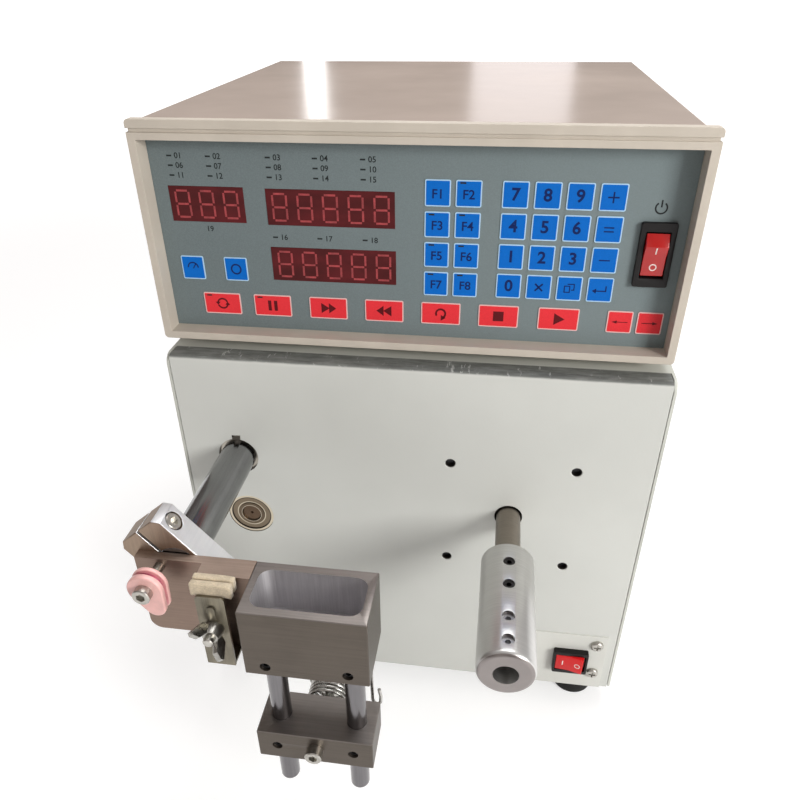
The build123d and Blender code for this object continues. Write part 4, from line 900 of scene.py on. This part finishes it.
# ------------------------------------------------------------------ marks
def arc_band(radius: float, width: float, start: float, stop: float,
             steps: int = 20) -> list[list[Point2]]:
    """Quads of a band that follows an arc, with angles in degrees."""
    inner, outer = radius - width / 2, radius + width / 2
    turns = [math.radians(start + (stop - start) * index / steps)
             for index in range(steps + 1)]
    return [[(reach * math.cos(turn), reach * math.sin(turn))
             for reach, turn in ((inner, a), (outer, a), (outer, b), (inner, b))]
            for a, b in zip(turns, turns[1:])]


def bar(x0: float, x1: float, z0: float, z1: float) -> list[Point2]:
    """Corners of an upright rectangle."""
    return [(x0, z0), (x1, z0), (x1, z1), (x0, z1)]


class Mark(Enum):
    """Plain pictograms for the keys: polygons about 1 unit tall round the origin."""

    PLAY = [[(-0.35, -0.5), (0.5, 0.0), (-0.35, 0.5)]]
    HALT = [bar(-0.42, 0.42, -0.42, 0.42)]
    AHEAD = [[(-0.6, -0.45), (0.1, 0.0), (-0.6, 0.45)],
             [(0.05, -0.45), (0.65, 0.0), (0.05, 0.45)]]
    BACK = [[(0.6, 0.45), (-0.1, 0.0), (0.6, -0.45)],
            [(-0.05, 0.45), (-0.65, 0.0), (-0.05, -0.45)]]
    AGAIN = arc_band(0.38, 0.16, -60, 210) + [[(0.02, -0.62), (0.02, -0.12), (0.42, -0.36)]]
    HOLD = [bar(-0.4, -0.12, -0.45, 0.45), bar(0.12, 0.4, -0.45, 0.45)]
    LOOP = arc_band(0.42, 0.14, 20, 170) + arc_band(0.42, 0.14, 200, 350) + [
        [(-0.62, 0.12), (-0.2, 0.12), (-0.42, -0.16)],
        [(0.62, -0.12), (0.2, -0.12), (0.42, 0.16)]]
    LEFT = [bar(-0.5, 1.0, -0.05, 0.05), [(-1.0, 0.0), (-0.35, -0.22), (-0.35, 0.22)]]
    RIGHT = [bar(-1.0, 0.5, -0.05, 0.05), [(1.0, 0.0), (0.35, 0.22), (0.35, -0.22)]]
    ENTER = [bar(-0.4, 0.6, -0.18, -0.06), bar(0.48, 0.6, -0.06, 0.4),
             [(-0.75, -0.12), (-0.35, -0.38), (-0.35, 0.14)]]
    DASH = [bar(-0.5, 0.5, -0.06, 0.06)]
    EQUALS = [bar(-0.45, 0.45, 0.12, 0.24), bar(-0.45, 0.45, -0.24, -0.12)]
    PLUS = [bar(-0.5, 0.5, -0.07, 0.07), bar(-0.07, 0.07, 0.07, 0.5),
            bar(-0.07, 0.07, -0.5, -0.07)]
    TWIN = [bar(-0.5, 0.1, -0.42, -0.32), bar(-0.5, -0.4, -0.32, 0.2),
            bar(-0.5, 0.1, 0.2, 0.3), bar(0.0, 0.1, -0.32, 0.2),
            bar(0.18, 0.5, -0.18, -0.08), bar(0.4, 0.5, -0.08, 0.5), bar(-0.2, 0.4, 0.4, 0.5)]
    CROSS = [[(-0.42, -0.3), (-0.3, -0.42), (0.42, 0.3), (0.3, 0.42)],
             [(-0.42, 0.3), (-0.08, -0.04), (0.04, 0.08), (-0.3, 0.42)],
             [(0.3, -0.42), (0.42, -0.3), (0.08, 0.04), (-0.04, -0.08)]]
    POWER = arc_band(0.42, 0.12, 125, 415) + [bar(-0.06, 0.06, 0.05, 0.6)]
    RING = arc_band(0.42, 0.14, 0, 360, 28)
    STROKE = [bar(-0.08, 0.08, -0.5, 0.5)]
    SPEED = arc_band(0.46, 0.12, 0, 180) + [[(-0.06, -0.08), (0.06, -0.08), (0.3, 0.32),
                                             (0.22, 0.36)]]


def add_mark(mesh: BMesh, mark: Mark, size: float, spot: Matrix,
             thick: float = INK) -> None:
    """Add a raised pictogram; spot turns the XZ plane to its place."""
    for outline in mark.value:
        turns = zip(outline, outline[1:] + outline[:1])
        clockwise = sum(a[0] * b[1] - b[0] * a[1] for a, b in turns) < 0
        corners = outline[::-1] if clockwise else outline
        add_loft(mesh, [[spot @ Vector((x * size, y, z * size)) for x, z in corners]
                        for y in (-thick, 0.0)])


def add_figure(mesh: BMesh, text: str, size: float, spot: Matrix,
               bold: float) -> None:
    """Add a plain number or key letter as a raised mesh, with its strokes grown by bold."""
    curve = bpy.data.curves.new("figure", "FONT")
    curve.body = text
    curve.size = size
    curve.offset = bold
    curve.extrude = INK / 2
    curve.resolution_u = FIGURE_STEPS
    curve.align_x = curve.align_y = "CENTER"
    flat = baked(placed("figure", curve))
    flat.transform(spot @ Matrix.Translation(FRONT * INK / 2)
                   @ Matrix.Rotation(math.pi / 2, 4, "X"))
    mesh.from_mesh(flat)
    bpy.data.curves.remove(curve)
    bpy.data.meshes.remove(flat)


# ------------------------------------------------------------------ drive box
@dataclass
class DriveBox:
    """Painted box with its front plate, sheets, feet and switch plate.

    Attributes:
        margin: How far inside the front plate's box the walls of its holes lie.
    """

    margin: Vector = Vector((3.0, 0.6, 3.0)) * MM

    def build(self) -> None:
        """Dress the box."""
        low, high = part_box("front_plate")
        plate = refined("front_plate", FrontPaint("front_paint", tone(211, 213, 208),
                                                  top=high.z), 0.25 * MM, flat_over=0.0)
        # the walls of the plate's holes take dark metal: painted shade in the holes
        recoat(plate, "hole_metal", low=low + self.margin, high=high - self.margin)
        refined("side_sheets", "body_paint", 0.5 * MM)
        refined("switch_plate", "plate_paint", 0.2 * MM)
        refined("rubber_feet", "foot_rubber", 0.6 * MM)
        dress(base_plate="body_paint", rear_panel="body_paint", top_sheet="body_paint",
              tie_bars="bar_steel", case_screws="screw_steel")


# ------------------------------------------------------------------ switches
def drop_on(node: str, start: Vector) -> tuple[Vector, Vector]:
    """Where a ray from the front meets a node.

    Args:
        node: CAD node.
        start: Point in front of it.

    Returns:
        The point and the surface's outward normal.
    """
    data = frame["nodes"][node].data
    tree = BVHTree.FromPolygons([vert.co for vert in data.vertices],
                                [tuple(face.vertices) for face in data.polygons])
    hit, normal, _, _ = tree.ray_cast(start, -FRONT)
    if hit is None:
        raise ValueError("nothing in front of " + node)
    return hit, normal


@dataclass
class Rocker:
    """Rocker switch: housing with rounded edges and a red rocker with its two marks.

    Attributes:
        housing: Housing node.
        rocker: Rocker node.
        way: Unit vector from the rocker's middle to its raised half.
        size: Height of its marks.
        raised: Place of the stroke on the raised half, as a share of the half length.
        pressed: Place of the ring on the pressed half.
        coat: Finish of the rocker.
    """

    housing: str
    rocker: str
    way: Vector
    size: float
    raised: float
    pressed: float
    coat: str

    def build(self) -> None:
        """Dress both nodes and print the marks where a ray drops on the rocker's faces."""
        refined(self.housing, "switch_black", 0.35 * MM)
        refined(self.rocker, self.coat, 0.3 * MM, **SOFT)
        low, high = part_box(self.rocker)
        start = (low + high) / 2
        start.y = low.y - 10.0 * MM
        mesh = bmesh.new()
        for share, mark in ((self.raised, Mark.STROKE), (-self.pressed, Mark.RING)):
            aside = self.way * share * abs(self.way.dot(high - low)) / 2
            hit, normal = drop_on(self.rocker, start + aside)
            turn = FRONT.rotation_difference(normal).to_matrix().to_4x4()
            place = Matrix.Translation(hit - normal * INK_SINK) @ turn
            add_mark(mesh, mark, self.size, place, RAISED_INK)
        rides(object_from(self.rocker + "_marks", mesh, "ink_white"), self.rocker, False)


# ------------------------------------------------------------------ moving parts
class Spindle:
    """Spindle shaft, sleeve, set screws and the motor behind the front plate."""

    def build(self) -> None:
        """Dress the spindle."""
        sleeve = refined("spindle_sleeve", "sleeve_metal", 0.4 * MM, **SOFT, flat_over=1.0)
        low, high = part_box("spindle_sleeve")
        # the sleeve's front faces take the darker copy: painted dark reflection on the nose
        recoat(sleeve, "nose_metal", FRONT)
        dress(sleeve_set_screws=TwoTone("set_screw_steel", tone(190, 190, 194),
                                        tone(70, 68, 68), (low.y + high.y) / 2),
              spindle_shaft="warm_shaft", motor_flange="motor_aluminium",
              motor_stator="motor_steel", motor_rear_bell="motor_aluminium",
              motor_rotor="motor_steel", motor_bolts="dull_screw")


class Traverse:
    """Traverse shaft, bush, lead screw and its motor."""

    # rings of the bearing's face; the near-black one at 11.9 mm is painted shade in the groove
    # by the outer ring
    RINGS = ((5.2 * MM, tone(196, 186, 168)), (6.3 * MM, tone(98, 86, 72)),
             (8.4 * MM, tone(190, 180, 160)), (9.0 * MM, tone(118, 106, 90)),
             (11.9 * MM, tone(52, 47, 42)), (12.5 * MM, tone(196, 186, 166)))

    def build(self) -> None:
        """Dress the traverse."""
        low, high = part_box("lead_screw")
        x, _, z = (low + high) / 2
        # the bearing's dark brown middle and the lead screw's finish are painted shade in the
        # bore
        dress(ball_bearings=TurnedRings("bearing_rings_and_shade", tone(96, 80, 68), x, z, self.RINGS),
              traverse_shaft="shaft_steel", linear_bush="bearing_steel",
              carriage_block="bare_aluminium", lead_nut="bronze", lead_screw="screw_end",
              drive_bracket="bare_aluminium", stepper_motor="motor_black")


@dataclass
class FeltPair:
    """Two felt strips under the pressure plate.

    Attributes:
        node: CAD node that they stand for.
        gap: Space between them.
        cell: Grid size of the felt's skin.
        corner: Radius of the corners.
        fuzz: How far the skin wanders.
        lumps: Lumps of the skin per metre.
        droop: How far the right end hangs.
    """

    node: str = "felt_pads"
    gap: float = 0.3 * MM
    cell: float = 0.45 * MM
    corner: float = 0.9 * MM
    fuzz: float = 0.16 * MM
    lumps: float = 900.0
    droop: float = 0.5 * MM

    def build(self) -> Object:
        """Make both strips with soft corners, a lumpy skin and a drooping right end."""
        low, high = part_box(self.node)
        thick = (high.y - low.y - self.gap) / 2
        mesh = bmesh.new()
        for index, y0 in enumerate((low.y, high.y - thick)):
            self._strip(mesh, Vector((low.x, y0, low.z)), Vector((high.x, y0 + thick, high.z)),
                        index)
        piece = object_from("felt_strips", mesh, "felt", 80.0)
        return rides(piece, self.node, True)

    def _strip(self, mesh: BMesh, low: Vector, high: Vector, seed: int) -> None:
        """Add one strip between two corners."""
        part = bmesh.new()
        middle = (low + high) / 2
        bmesh.ops.create_cube(part, size=1.0, matrix=Matrix.Translation(middle)
                              @ Matrix.Diagonal((*(high - low), 1.0)))
        round_off(part, self.corner, *SOFT.values())
        for _ in range(4):
            long = [edge for edge in part.edges if edge.calc_length() > 2 * self.cell]
            if not long:
                break
            bmesh.ops.subdivide_edges(part, edges=long, cuts=1, use_grid_fill=True)
        bmesh.ops.triangulate(part, faces=part.faces)
        part.normal_update()
        moves = []
        for vert in part.verts:
            spot = vert.co * self.lumps + Vector((seed * 7.0, 0.0, 0.0))
            lump = noise.fractal(spot, 0.8, 2.1, 4)
            end = max(0.0, (vert.co.x - low.x) / (high.x - low.x) - 0.8) / 0.2
            pinch = Vector((0.0, (middle.y - vert.co.y) * 0.06, -self.droop * end * end))
            moves.append(vert.normal * self.fuzz * (lump - 1.0) + pinch)
        for vert, move in zip(part.verts, moves):
            vert.co += move
        data = bpy.data.meshes.new("strip")
        part.to_mesh(data)
        part.free()
        mesh.from_mesh(data)
        bpy.data.meshes.remove(data)


@dataclass
class WireGuide:
    """Clamp arm, guide plate, shoe, felt clamp, cup block, rods and lower block.

    Attributes:
        wall: Metal beside the cup's pocket that keeps the block's finish, on each axis.
        reach: How far under the cup block's top faces count as the pocket's.
        groove: Flange in front of the shoe's groove and behind it.
        hang: Hook's place from the lower block's right rear edge.
        root: How deep the hook's end is in the cup block.
        wire: Radius of its wire.
        bends: Its bends, to the right and down, in millimetres.
    """

    wall: Vector = Vector((3.0, 3.0, 0.0)) * MM
    reach: float = 30.2 * MM
    groove: Point2 = (3.0 * MM, 2.2 * MM)
    hang: Vector = Vector((-4.6, 2.4)) * MM
    root: float = 2.0 * MM
    wire: float = 0.9 * MM
    bends: tuple[Point2, ...] = ((0.0, 0.0), (0.0, 47.0), (1.0, 50.0), (2.8, 50.8),
                                 (4.2, 49.0), (4.4, 44.0), (3.6, 39.0))

    def build(self) -> None:
        """Dress the wire guide."""
        arm = refined("clamp_arm", "arm_metal", 0.35 * MM)
        # painted reflections: the arm's left and front faces take brown, the others a near
        # white
        for way in ((-0.82, 0.0, 0.57), (-0.82, 0.0, -0.57), FRONT):
            recoat(arm, "arm_brown", Vector(way))
        self._blocks()
        refined("pressure_plate", "dark_steel", 0.3 * MM)
        refined("wing_nut", "zinc_plated", 0.7 * MM, **SOFT)
        refined("tension_disc", "zinc_plated", 0.3 * MM, SOFT["sharp"])
        low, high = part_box("guide_shoe")
        refined("guide_shoe", GlazedShoe("shoe_ceramic", tone(238, 186, 180),
                                         tone(196, 92, 118), high.y - self.groove[1],
                                         low.y + self.groove[0]), 0.7 * MM, **SOFT)
        self._hook()
        FeltPair().build()
        dress(clamp_screw="screw_steel", shoe_screw="screw_steel", tension_stud="screw_steel",
              guide_rods="rod_chrome", cup_set_screws="dull_screw",
              lower_set_screws="dull_screw", centre_screw="screw_steel",
              tension_spring="spring_steel")

    def _blocks(self) -> None:
        """Dress the blocks; their tops take paler copies of the finishes as painted light from
        above, and the milled pocket is paler.
        """
        # the guide plate's brown front is a painted reflection
        plate = refined("guide_plate", "plate_brown", 0.3 * MM)
        lower = refined("lower_block", "block_face", 0.2 * MM)
        cup = refined("cup_block", "block_face", 0.2 * MM)
        low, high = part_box("cup_block")
        recoat(cup, "pocket_metal", low=Vector((*low.xy, high.z - self.reach)) + self.wall,
               high=high - self.wall - UP * 0.3 * MM)
        # painted light: upward faces take a paler copy of each finish
        for piece, coat in ((cup, "block_top"), (lower, "block_top"), (plate, "plate_top")):
            top = piece.bound_box[6][2]
            recoat(piece, coat, UP, low=Vector((-1.0, -1.0, top - MM)))

    def _hook(self) -> None:
        """Bent wire that hangs from the cup block behind the lower block's right end."""
        right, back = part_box("lower_block")[1].xy + self.hang
        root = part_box("cup_block")[0].z + self.root
        mesh = bmesh.new()
        add_wire(mesh, [Vector((right + side * MM, back, root - drop * MM))
                        for side, drop in self.bends], self.wire)
        rides(object_from("wire_hook", mesh, "spring_steel"), "cup_block", False)


# ------------------------------------------------------------------ controller
def grid(left: float, top: float, across: float, down: float, columns: int,
         rows: int = 4) -> list[Point2]:
    """Centres of a block of keys, row by row from its upper left one."""
    return [(left + across * column, top - down * row)
            for row in range(rows) for column in range(columns)]


# Places on the panel are in millimetres from the bezel's lower left corner.
KEYS: dict[str, list[Point2]] = {
    "number": grid(184.5, 79.5, 15.0, 15.1, 4),
    "function": grid(147.7, 79.4, 14.8, 15.2, 2),
    "pair": grid(18.3, 37.2, 23.7, 0.0, 2, 1),
    "command": [(u, 17.5) for u in (31.9, 60.0, 90.6, 120.7, 150.6, 180.5, 211.0)],
    "arrow": grid(241.5, 17.5, 14.7, 0.0, 2, 1),
}
SIGNS: dict[str, Sequence[Union[str, Mark]]] = {
    "number": (*"789", Mark.PLUS, *"456", Mark.EQUALS, *"123", Mark.DASH, "0", Mark.CROSS,
               Mark.TWIN, Mark.ENTER),
    "function": [f"F{number}" for number in range(1, 9)],
    "pair": (Mark.SPEED, Mark.RING),
    "command": (Mark.LOOP, Mark.HOLD, Mark.AHEAD, Mark.BACK, Mark.AGAIN, Mark.HALT, Mark.PLAY),
    "arrow": (Mark.LEFT, Mark.RIGHT),
}
# Colour, key groups with their width and height, then mark sizes, all in millimetres.
KEY_SIZES: dict[str, dict[str, tuple[float, float, float]]] = {
    "blue": {"number": (12.4, 12.7, 5.2), "function": (12.4, 12.7, 0.0),
             "pair": (12.4, 12.7, 6.0)},
    "red": {"command": (20.5, 12.0, 6.4), "arrow": (12.5, 11.8, 3.9)},
}
# Letter height, how much bolder and how much lower, in millimetres.
LETTERS = {"number": (8.2, 0.22, 0.0), "function": (6.2, 0.1, 0.6)}
INDICATORS = [(u, v) for v in (94.0, 89.4, 84.7) for u in (14.9, 34.7, 64.9, 88.2, 111.6)] + [
    (u, 55.0) for u in (65.1, 88.3, 111.6)]
KEY_BARS = [(159.7, 84.4), (144.9, 69.1), (159.7, 69.2), (145.0, 54.0), (159.8, 53.9),
            (144.9, 38.8), (159.8, 38.8), (25.0, 22.0), (53.3, 22.0)]
FIGURES = (grid(18.6, 70.7, 12.6, 0.0, 3, 1) + grid(68.9, 70.3, 12.86, 0.0, 5, 1)
           + grid(69.3, 41.0, 12.86, 0.0, 5, 1))


class KeyPanel:
    """Keypad film with its keys, windows, figures and indicator marks."""

    RIM = 0.55  # width of a key's rim in millimetres
    LIFT, STEP, SUNK = 0.40 * MM, 0.04 * MM, 0.38 * MM  # rim's and face's fronts and backs
    NUMBER, BOLD = 3.9 * MM, 0.06 * MM  # height of the small numbers and how much bolder
    ASIDE = 4.6  # millimetres from a bar to its number
    LAST = (26.2, 58.2)  # place of the number that has no bar, less that
    POWER, POWER_SIZE = (251.6, 75.2), 6.2 * MM

    def __init__(self, left: float, bottom: float, film: float, keys: float) -> None:
        """Keep the bezel's lower left corner and the fronts of the film and of the keys."""
        self.left, self.bottom, self.film, self.keys = left, bottom, film, keys
        self.tiles = tile_rule()

    def at(self, u: float, v: float, y: float) -> Vector:
        """Panel place in the machine's metres."""
        return Vector((self.left + u * MM, y, self.bottom + v * MM))

    def spot(self, u: float, v: float, y: float) -> Matrix:
        """Move to a panel place."""
        return Matrix.Translation(self.at(u, v, y))

    def build(self) -> None:
        """Make every printed thing on the panel."""
        dress(key_panel="panel_film")
        refined("display_windows", "window_red", 0.15 * MM)
        for colour, groups in KEY_SIZES.items():
            tiles = [tile for name, (width, height, _) in groups.items()
                     for tile in self._tiles(name, width, height, colour)]
            rides(join(f"{colour}_key_tiles", tiles), f"{colour}_keys", True)
        places = [self.at(u, v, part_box("display_windows")[0].y) for u, v in FIGURES]
        figures = digit_rule().grow("display_figures", places, {
            "Tall": 13.2 * MM, "Wide": 7.0 * MM, "Bar": 1.0 * MM, "Thick": 0.06 * MM},
            "segment_dim")
        rides(figures, "display_windows", False)
        self._indicators()
        for colour, groups in KEY_SIZES.items():
            self._signs(colour, {name: row[2] for name, row in groups.items()})

    def _tiles(self, name: str, width: float, height: float,
               colour: str) -> list[Object]:
        """Make the rims and the faces of a group of keys, in that order.

        Args:
            name: Group name.
            width: Key width in millimetres.
            height: Key height in millimetres.
            colour: Colour's name in the finishes.

        Returns:
            One object for each layer.
        """
        made = []
        for layer, (shrink, coat) in enumerate(((0.0, "rim_"), (self.RIM, "key_"))):
            back = self.film - layer * self.SUNK
            front = self.film - self.LIFT - layer * self.STEP
            values = {"Width": (width - 2 * shrink) * MM, "Height": (height - 2 * shrink) * MM,
                      "Corner": (0.9 - shrink * 0.8) * MM, "Thick": back - front, "Steps": 5}
            points = [self.at(u, v, back) for u, v in KEYS[name]]
            made.append(self.tiles.grow(f"{name}_{layer}", points, values, coat + colour))
        return made

    def _indicators(self) -> None:
        """Small dark bars over the windows and in the key corners, and their numbers."""
        size = {"Width": 2.6 * MM, "Height": 0.8 * MM, "Corner": 0.1 * MM,
                "Thick": 0.05 * MM, "Steps": 2}
        bars = [self.tiles.grow(name, [self.at(u, v, y) for u, v in places], values,
                                "ink_black")
                for name, places, y, values in (
                    ("panel_bars", INDICATORS, self.film, size),
                    ("key_bars", KEY_BARS, self.keys, {**size, "Width": 2.8 * MM}))]
        rides(join("indicator_bars", bars), "key_panel", False)
        mesh = bmesh.new()
        for number, (u, v) in enumerate([*INDICATORS, self.LAST], 1):
            spot = self.spot(u + self.ASIDE, v, self.film)
            add_figure(mesh, f"{number:02d}", self.NUMBER, spot, self.BOLD)
        add_mark(mesh, Mark.POWER, self.POWER_SIZE, self.spot(*self.POWER, self.film))
        rides(object_from("panel_numbers", mesh, "ink_black"), "key_panel", False)

    def _signs(self, colour: str, sizes: dict[str, float]) -> None:
        """Numbers, key letters and pictograms on the keys of one colour."""
        mesh = bmesh.new()
        for name, size in sizes.items():
            tall, bold, drop = LETTERS.get(name, (0.0, 0.0, 0.0))
            for (u, v), sign in zip(KEYS[name], SIGNS[name]):
                spot = self.spot(u, v - drop, self.keys)
                if isinstance(sign, Mark):
                    add_mark(mesh, sign, size * MM, spot)
                else:
                    add_figure(mesh, sign, tall * MM, spot, bold * MM)
        rides(object_from(f"{colour}_key_marks", mesh, "ink_" + colour), f"{colour}_keys",
              False)


class Controller:
    """Controller case: bezel, covers, rear panel, feet and inner parts."""

    def build(self) -> None:
        """Dress the case and its panel."""
        refined("bezel_frame", "bezel_plastic", 0.5 * MM, steps=3)
        refined("top_cover", "cover_paint", 0.5 * MM)
        dress(side_covers="cover_paint", base_tray="cover_paint",
              case_rear_panel="cover_paint", control_board="board_green",
              transformer="motor_steel", mains_inlet="switch_black",
              signal_sockets="zinc_plated", case_feet="foot_rubber")
        low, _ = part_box("bezel_frame")
        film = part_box("key_panel")[0].y
        KeyPanel(low.x, low.z, film, film - KeyPanel.LIFT - KeyPanel.STEP).build()


# ------------------------------------------------------------------ studio
@dataclass(frozen=True)
class WhiteFloor(Finish):
    """Floor that the camera, metal and glass see as white, with the object's shadow on it.

    Attributes:
        pale: The lit floor's other colour.
        shine: White that seeing rays find there on top of the lit floor.
    """

    pale: Colour = (0.64, 0.64, 0.64)
    shine: float = 0.48

    def mix(self, recipe: Recipe) -> Material:
        """Pale matt floor that shines back at camera, glossy and transmission rays alone."""
        ray = add_node(recipe.tree, "ShaderNodeLightPath")
        camera, glossy, through = (Signal(recipe, ray.outputs[f"Is {kind} Ray"])
                                   for kind in ("Camera", "Glossy", "Transmission"))
        away = recipe.signal("ShaderNodeVectorMath", {"operation": "LENGTH"},
                             {0: recipe.place()}, "Value").ease(0.6, 3.0)
        light = recipe.between(camera + glossy + through, BLACK,
                               recipe.between(away, (self.shine,) * 3, WHITE))
        shade_of = recipe.between(recipe.grain(1.2), self.colour, self.pale)
        return recipe.surface(Base_Color=shade_of, Roughness=0.9, Emission_Color=light,
                              Emission_Strength=1.0)


@dataclass
class Studio:
    """Camera at the photograph's place, soft lights and a pale floor.

    Attributes:
        front_y: Y of the front plate.
        picture: Width of the photograph in pixels.
        focal: Focal length in its pixels.
        centre: Picture point that the lens looks at, in pixels from the upper left.
        angles: Yaw, pitch and roll in degrees.
        spot: Camera's place, with its Y from the front plate.
    """

    front_y: float
    picture: float = 800.0
    focal: float = 721.459
    centre: Point2 = (391.864, 427.869)
    angles: Colour = (8.692, 32.566, -0.779)
    spot: Colour = (0.0405, -0.3317, 0.4232)

    def build(self) -> None:
        """Make the studio."""
        self._camera()
        mesh = bmesh.new()
        bmesh.ops.create_grid(mesh, x_segments=8, y_segments=8, size=30.0)
        object_from("floor", mesh, WhiteFloor("floor_white", (0.60, 0.60, 0.60)))
        self._world()
        machine, cover = (0.02, -0.1, 0.17), (0.0, 0.05, 0.364)
        for lamp in (("key", (1.1, -0.95, 0.72), machine, (0.5, 0.5), 17.0, (1.0, 0.99, 0.97)),
                     ("fill", (-0.6, -2.3, 1.2), machine, (1.4, 1.4), 2.6, (1.0, 0.95, 0.9)),
                     ("top", (0.12, 0.35, 1.35), machine, (0.8, 0.8), 11.0, WHITE),
                     ("streak", (-0.55, 2.0, 0.65), cover, (0.06, 0.5), 0.35, WHITE),
                     ("window", (0.08, 2.0, 0.65), cover, (0.3, 0.5), 0.5, (1.0, 0.97, 1.0))):
            self._lamp(*lamp)

    def _camera(self) -> None:
        """Camera from the photograph's vanishing points."""
        data = bpy.data.cameras.new("camera")
        data.sensor_width = 36.0
        data.lens = self.focal * data.sensor_width / self.picture
        data.shift_x = (self.picture / 2 - self.centre[0]) / self.picture
        data.shift_y = (self.centre[1] - self.picture / 2) / self.picture
        data.clip_start = 0.01
        data.clip_end = 100.0
        camera = placed("camera", data)
        yaw, pitch, roll = (math.radians(angle) for angle in self.angles)
        ahead = Vector((-math.sin(yaw), math.cos(yaw), 0.0))
        right = Vector((math.cos(yaw), math.sin(yaw), 0.0))
        look = ahead * math.cos(pitch) - UP * math.sin(pitch)
        top = UP * math.cos(pitch) + ahead * math.sin(pitch)
        side = right * math.cos(roll) + top * math.sin(roll)
        head = top * math.cos(roll) - right * math.sin(roll)
        turn = Matrix((side, head, -look)).transposed().to_4x4()
        spot = Vector(self.spot) - FRONT * self.front_y
        camera.matrix_world = Matrix.Translation(spot) @ turn
        bpy.context.scene.camera = camera

    def _world(self) -> None:
        """Soft room: bright on the right and overhead, brown and darker on the left."""
        world = bpy.data.worlds.new("studio_room")
        world.use_nodes = True
        tree = world.node_tree
        tree.nodes.clear()
        spot = add_node(tree, "ShaderNodeTexCoord")
        parts = add_node(tree, "ShaderNodeSeparateXYZ", None, {0: spot.outputs["Generated"]})
        ramps = []
        for axis, stops in (
                ("X", ((0.0, (0.16, 0.11, 0.08)), (0.5, (0.42, 0.37, 0.33)), (1.0, WHITE))),
                ("Z", ((0.0, BLACK), (0.95, (0.70, 0.71, 0.73))))):
            ramp = add_node(tree, "ShaderNodeValToRGB", None, {0: parts.outputs[axis]})
            band = ramp.color_ramp
            while len(band.elements) < len(stops):
                band.elements.new(0.5)
            for element, (place, colour) in zip(band.elements, stops):
                element.position = place
                element.color = (*colour, 1.0)
            ramps.append(ramp.outputs[0])
        both = add_node(tree, "ShaderNodeMix", {"data_type": "RGBA", "blend_type": "ADD"},
                        {0: 1.0, 6: ramps[0], 7: ramps[1]})
        sky = add_node(tree, "ShaderNodeBackground", None,
                       {"Strength": 0.62, "Color": both.outputs[2]})
        add_node(tree, "ShaderNodeOutputWorld", None, {"Surface": sky.outputs[0]})
        bpy.context.scene.world = world

    def _lamp(self, name: str, spot: Colour, aim: Colour, size: Point2, watts: float,
              colour: Colour) -> None:
        """Soft lamp of a width and a height at a spot, aimed at a point."""
        data = bpy.data.lights.new(name, "AREA")
        data.shape = "RECTANGLE"
        data.size, data.size_y = size
        data.energy = watts
        data.color = colour
        lamp = placed(name, data)
        lamp.location = spot
        lamp.rotation_euler = (Vector(aim) - Vector(spot)).to_track_quat("-Z", "Y").to_euler()


# ------------------------------------------------------------------ everything
def main() -> None:
    """Build the studio and dress each sub-assembly in order."""
    logging.basicConfig(level=logging.INFO, format="%(name)s: %(message)s")
    bpy.context.scene.view_settings.view_transform = "Standard"
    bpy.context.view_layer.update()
    Studio(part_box("front_plate")[0].y).build()
    DriveBox().build()
    Rocker("stop_switch_housing", "stop_rocker", Vector((-1.0, 0.0, 0.0)), 3.8 * MM, 0.5, 0.5,
           "rocker_red").build()
    Rocker("power_switch_housing", "power_rocker", UP, 3.6 * MM, 0.28, 0.5,
           "rocker_clear").build()
    for assembly in (Spindle(), Traverse(), WireGuide(), Controller()):
        assembly.build()


if __name__ == "__main__":
    main()
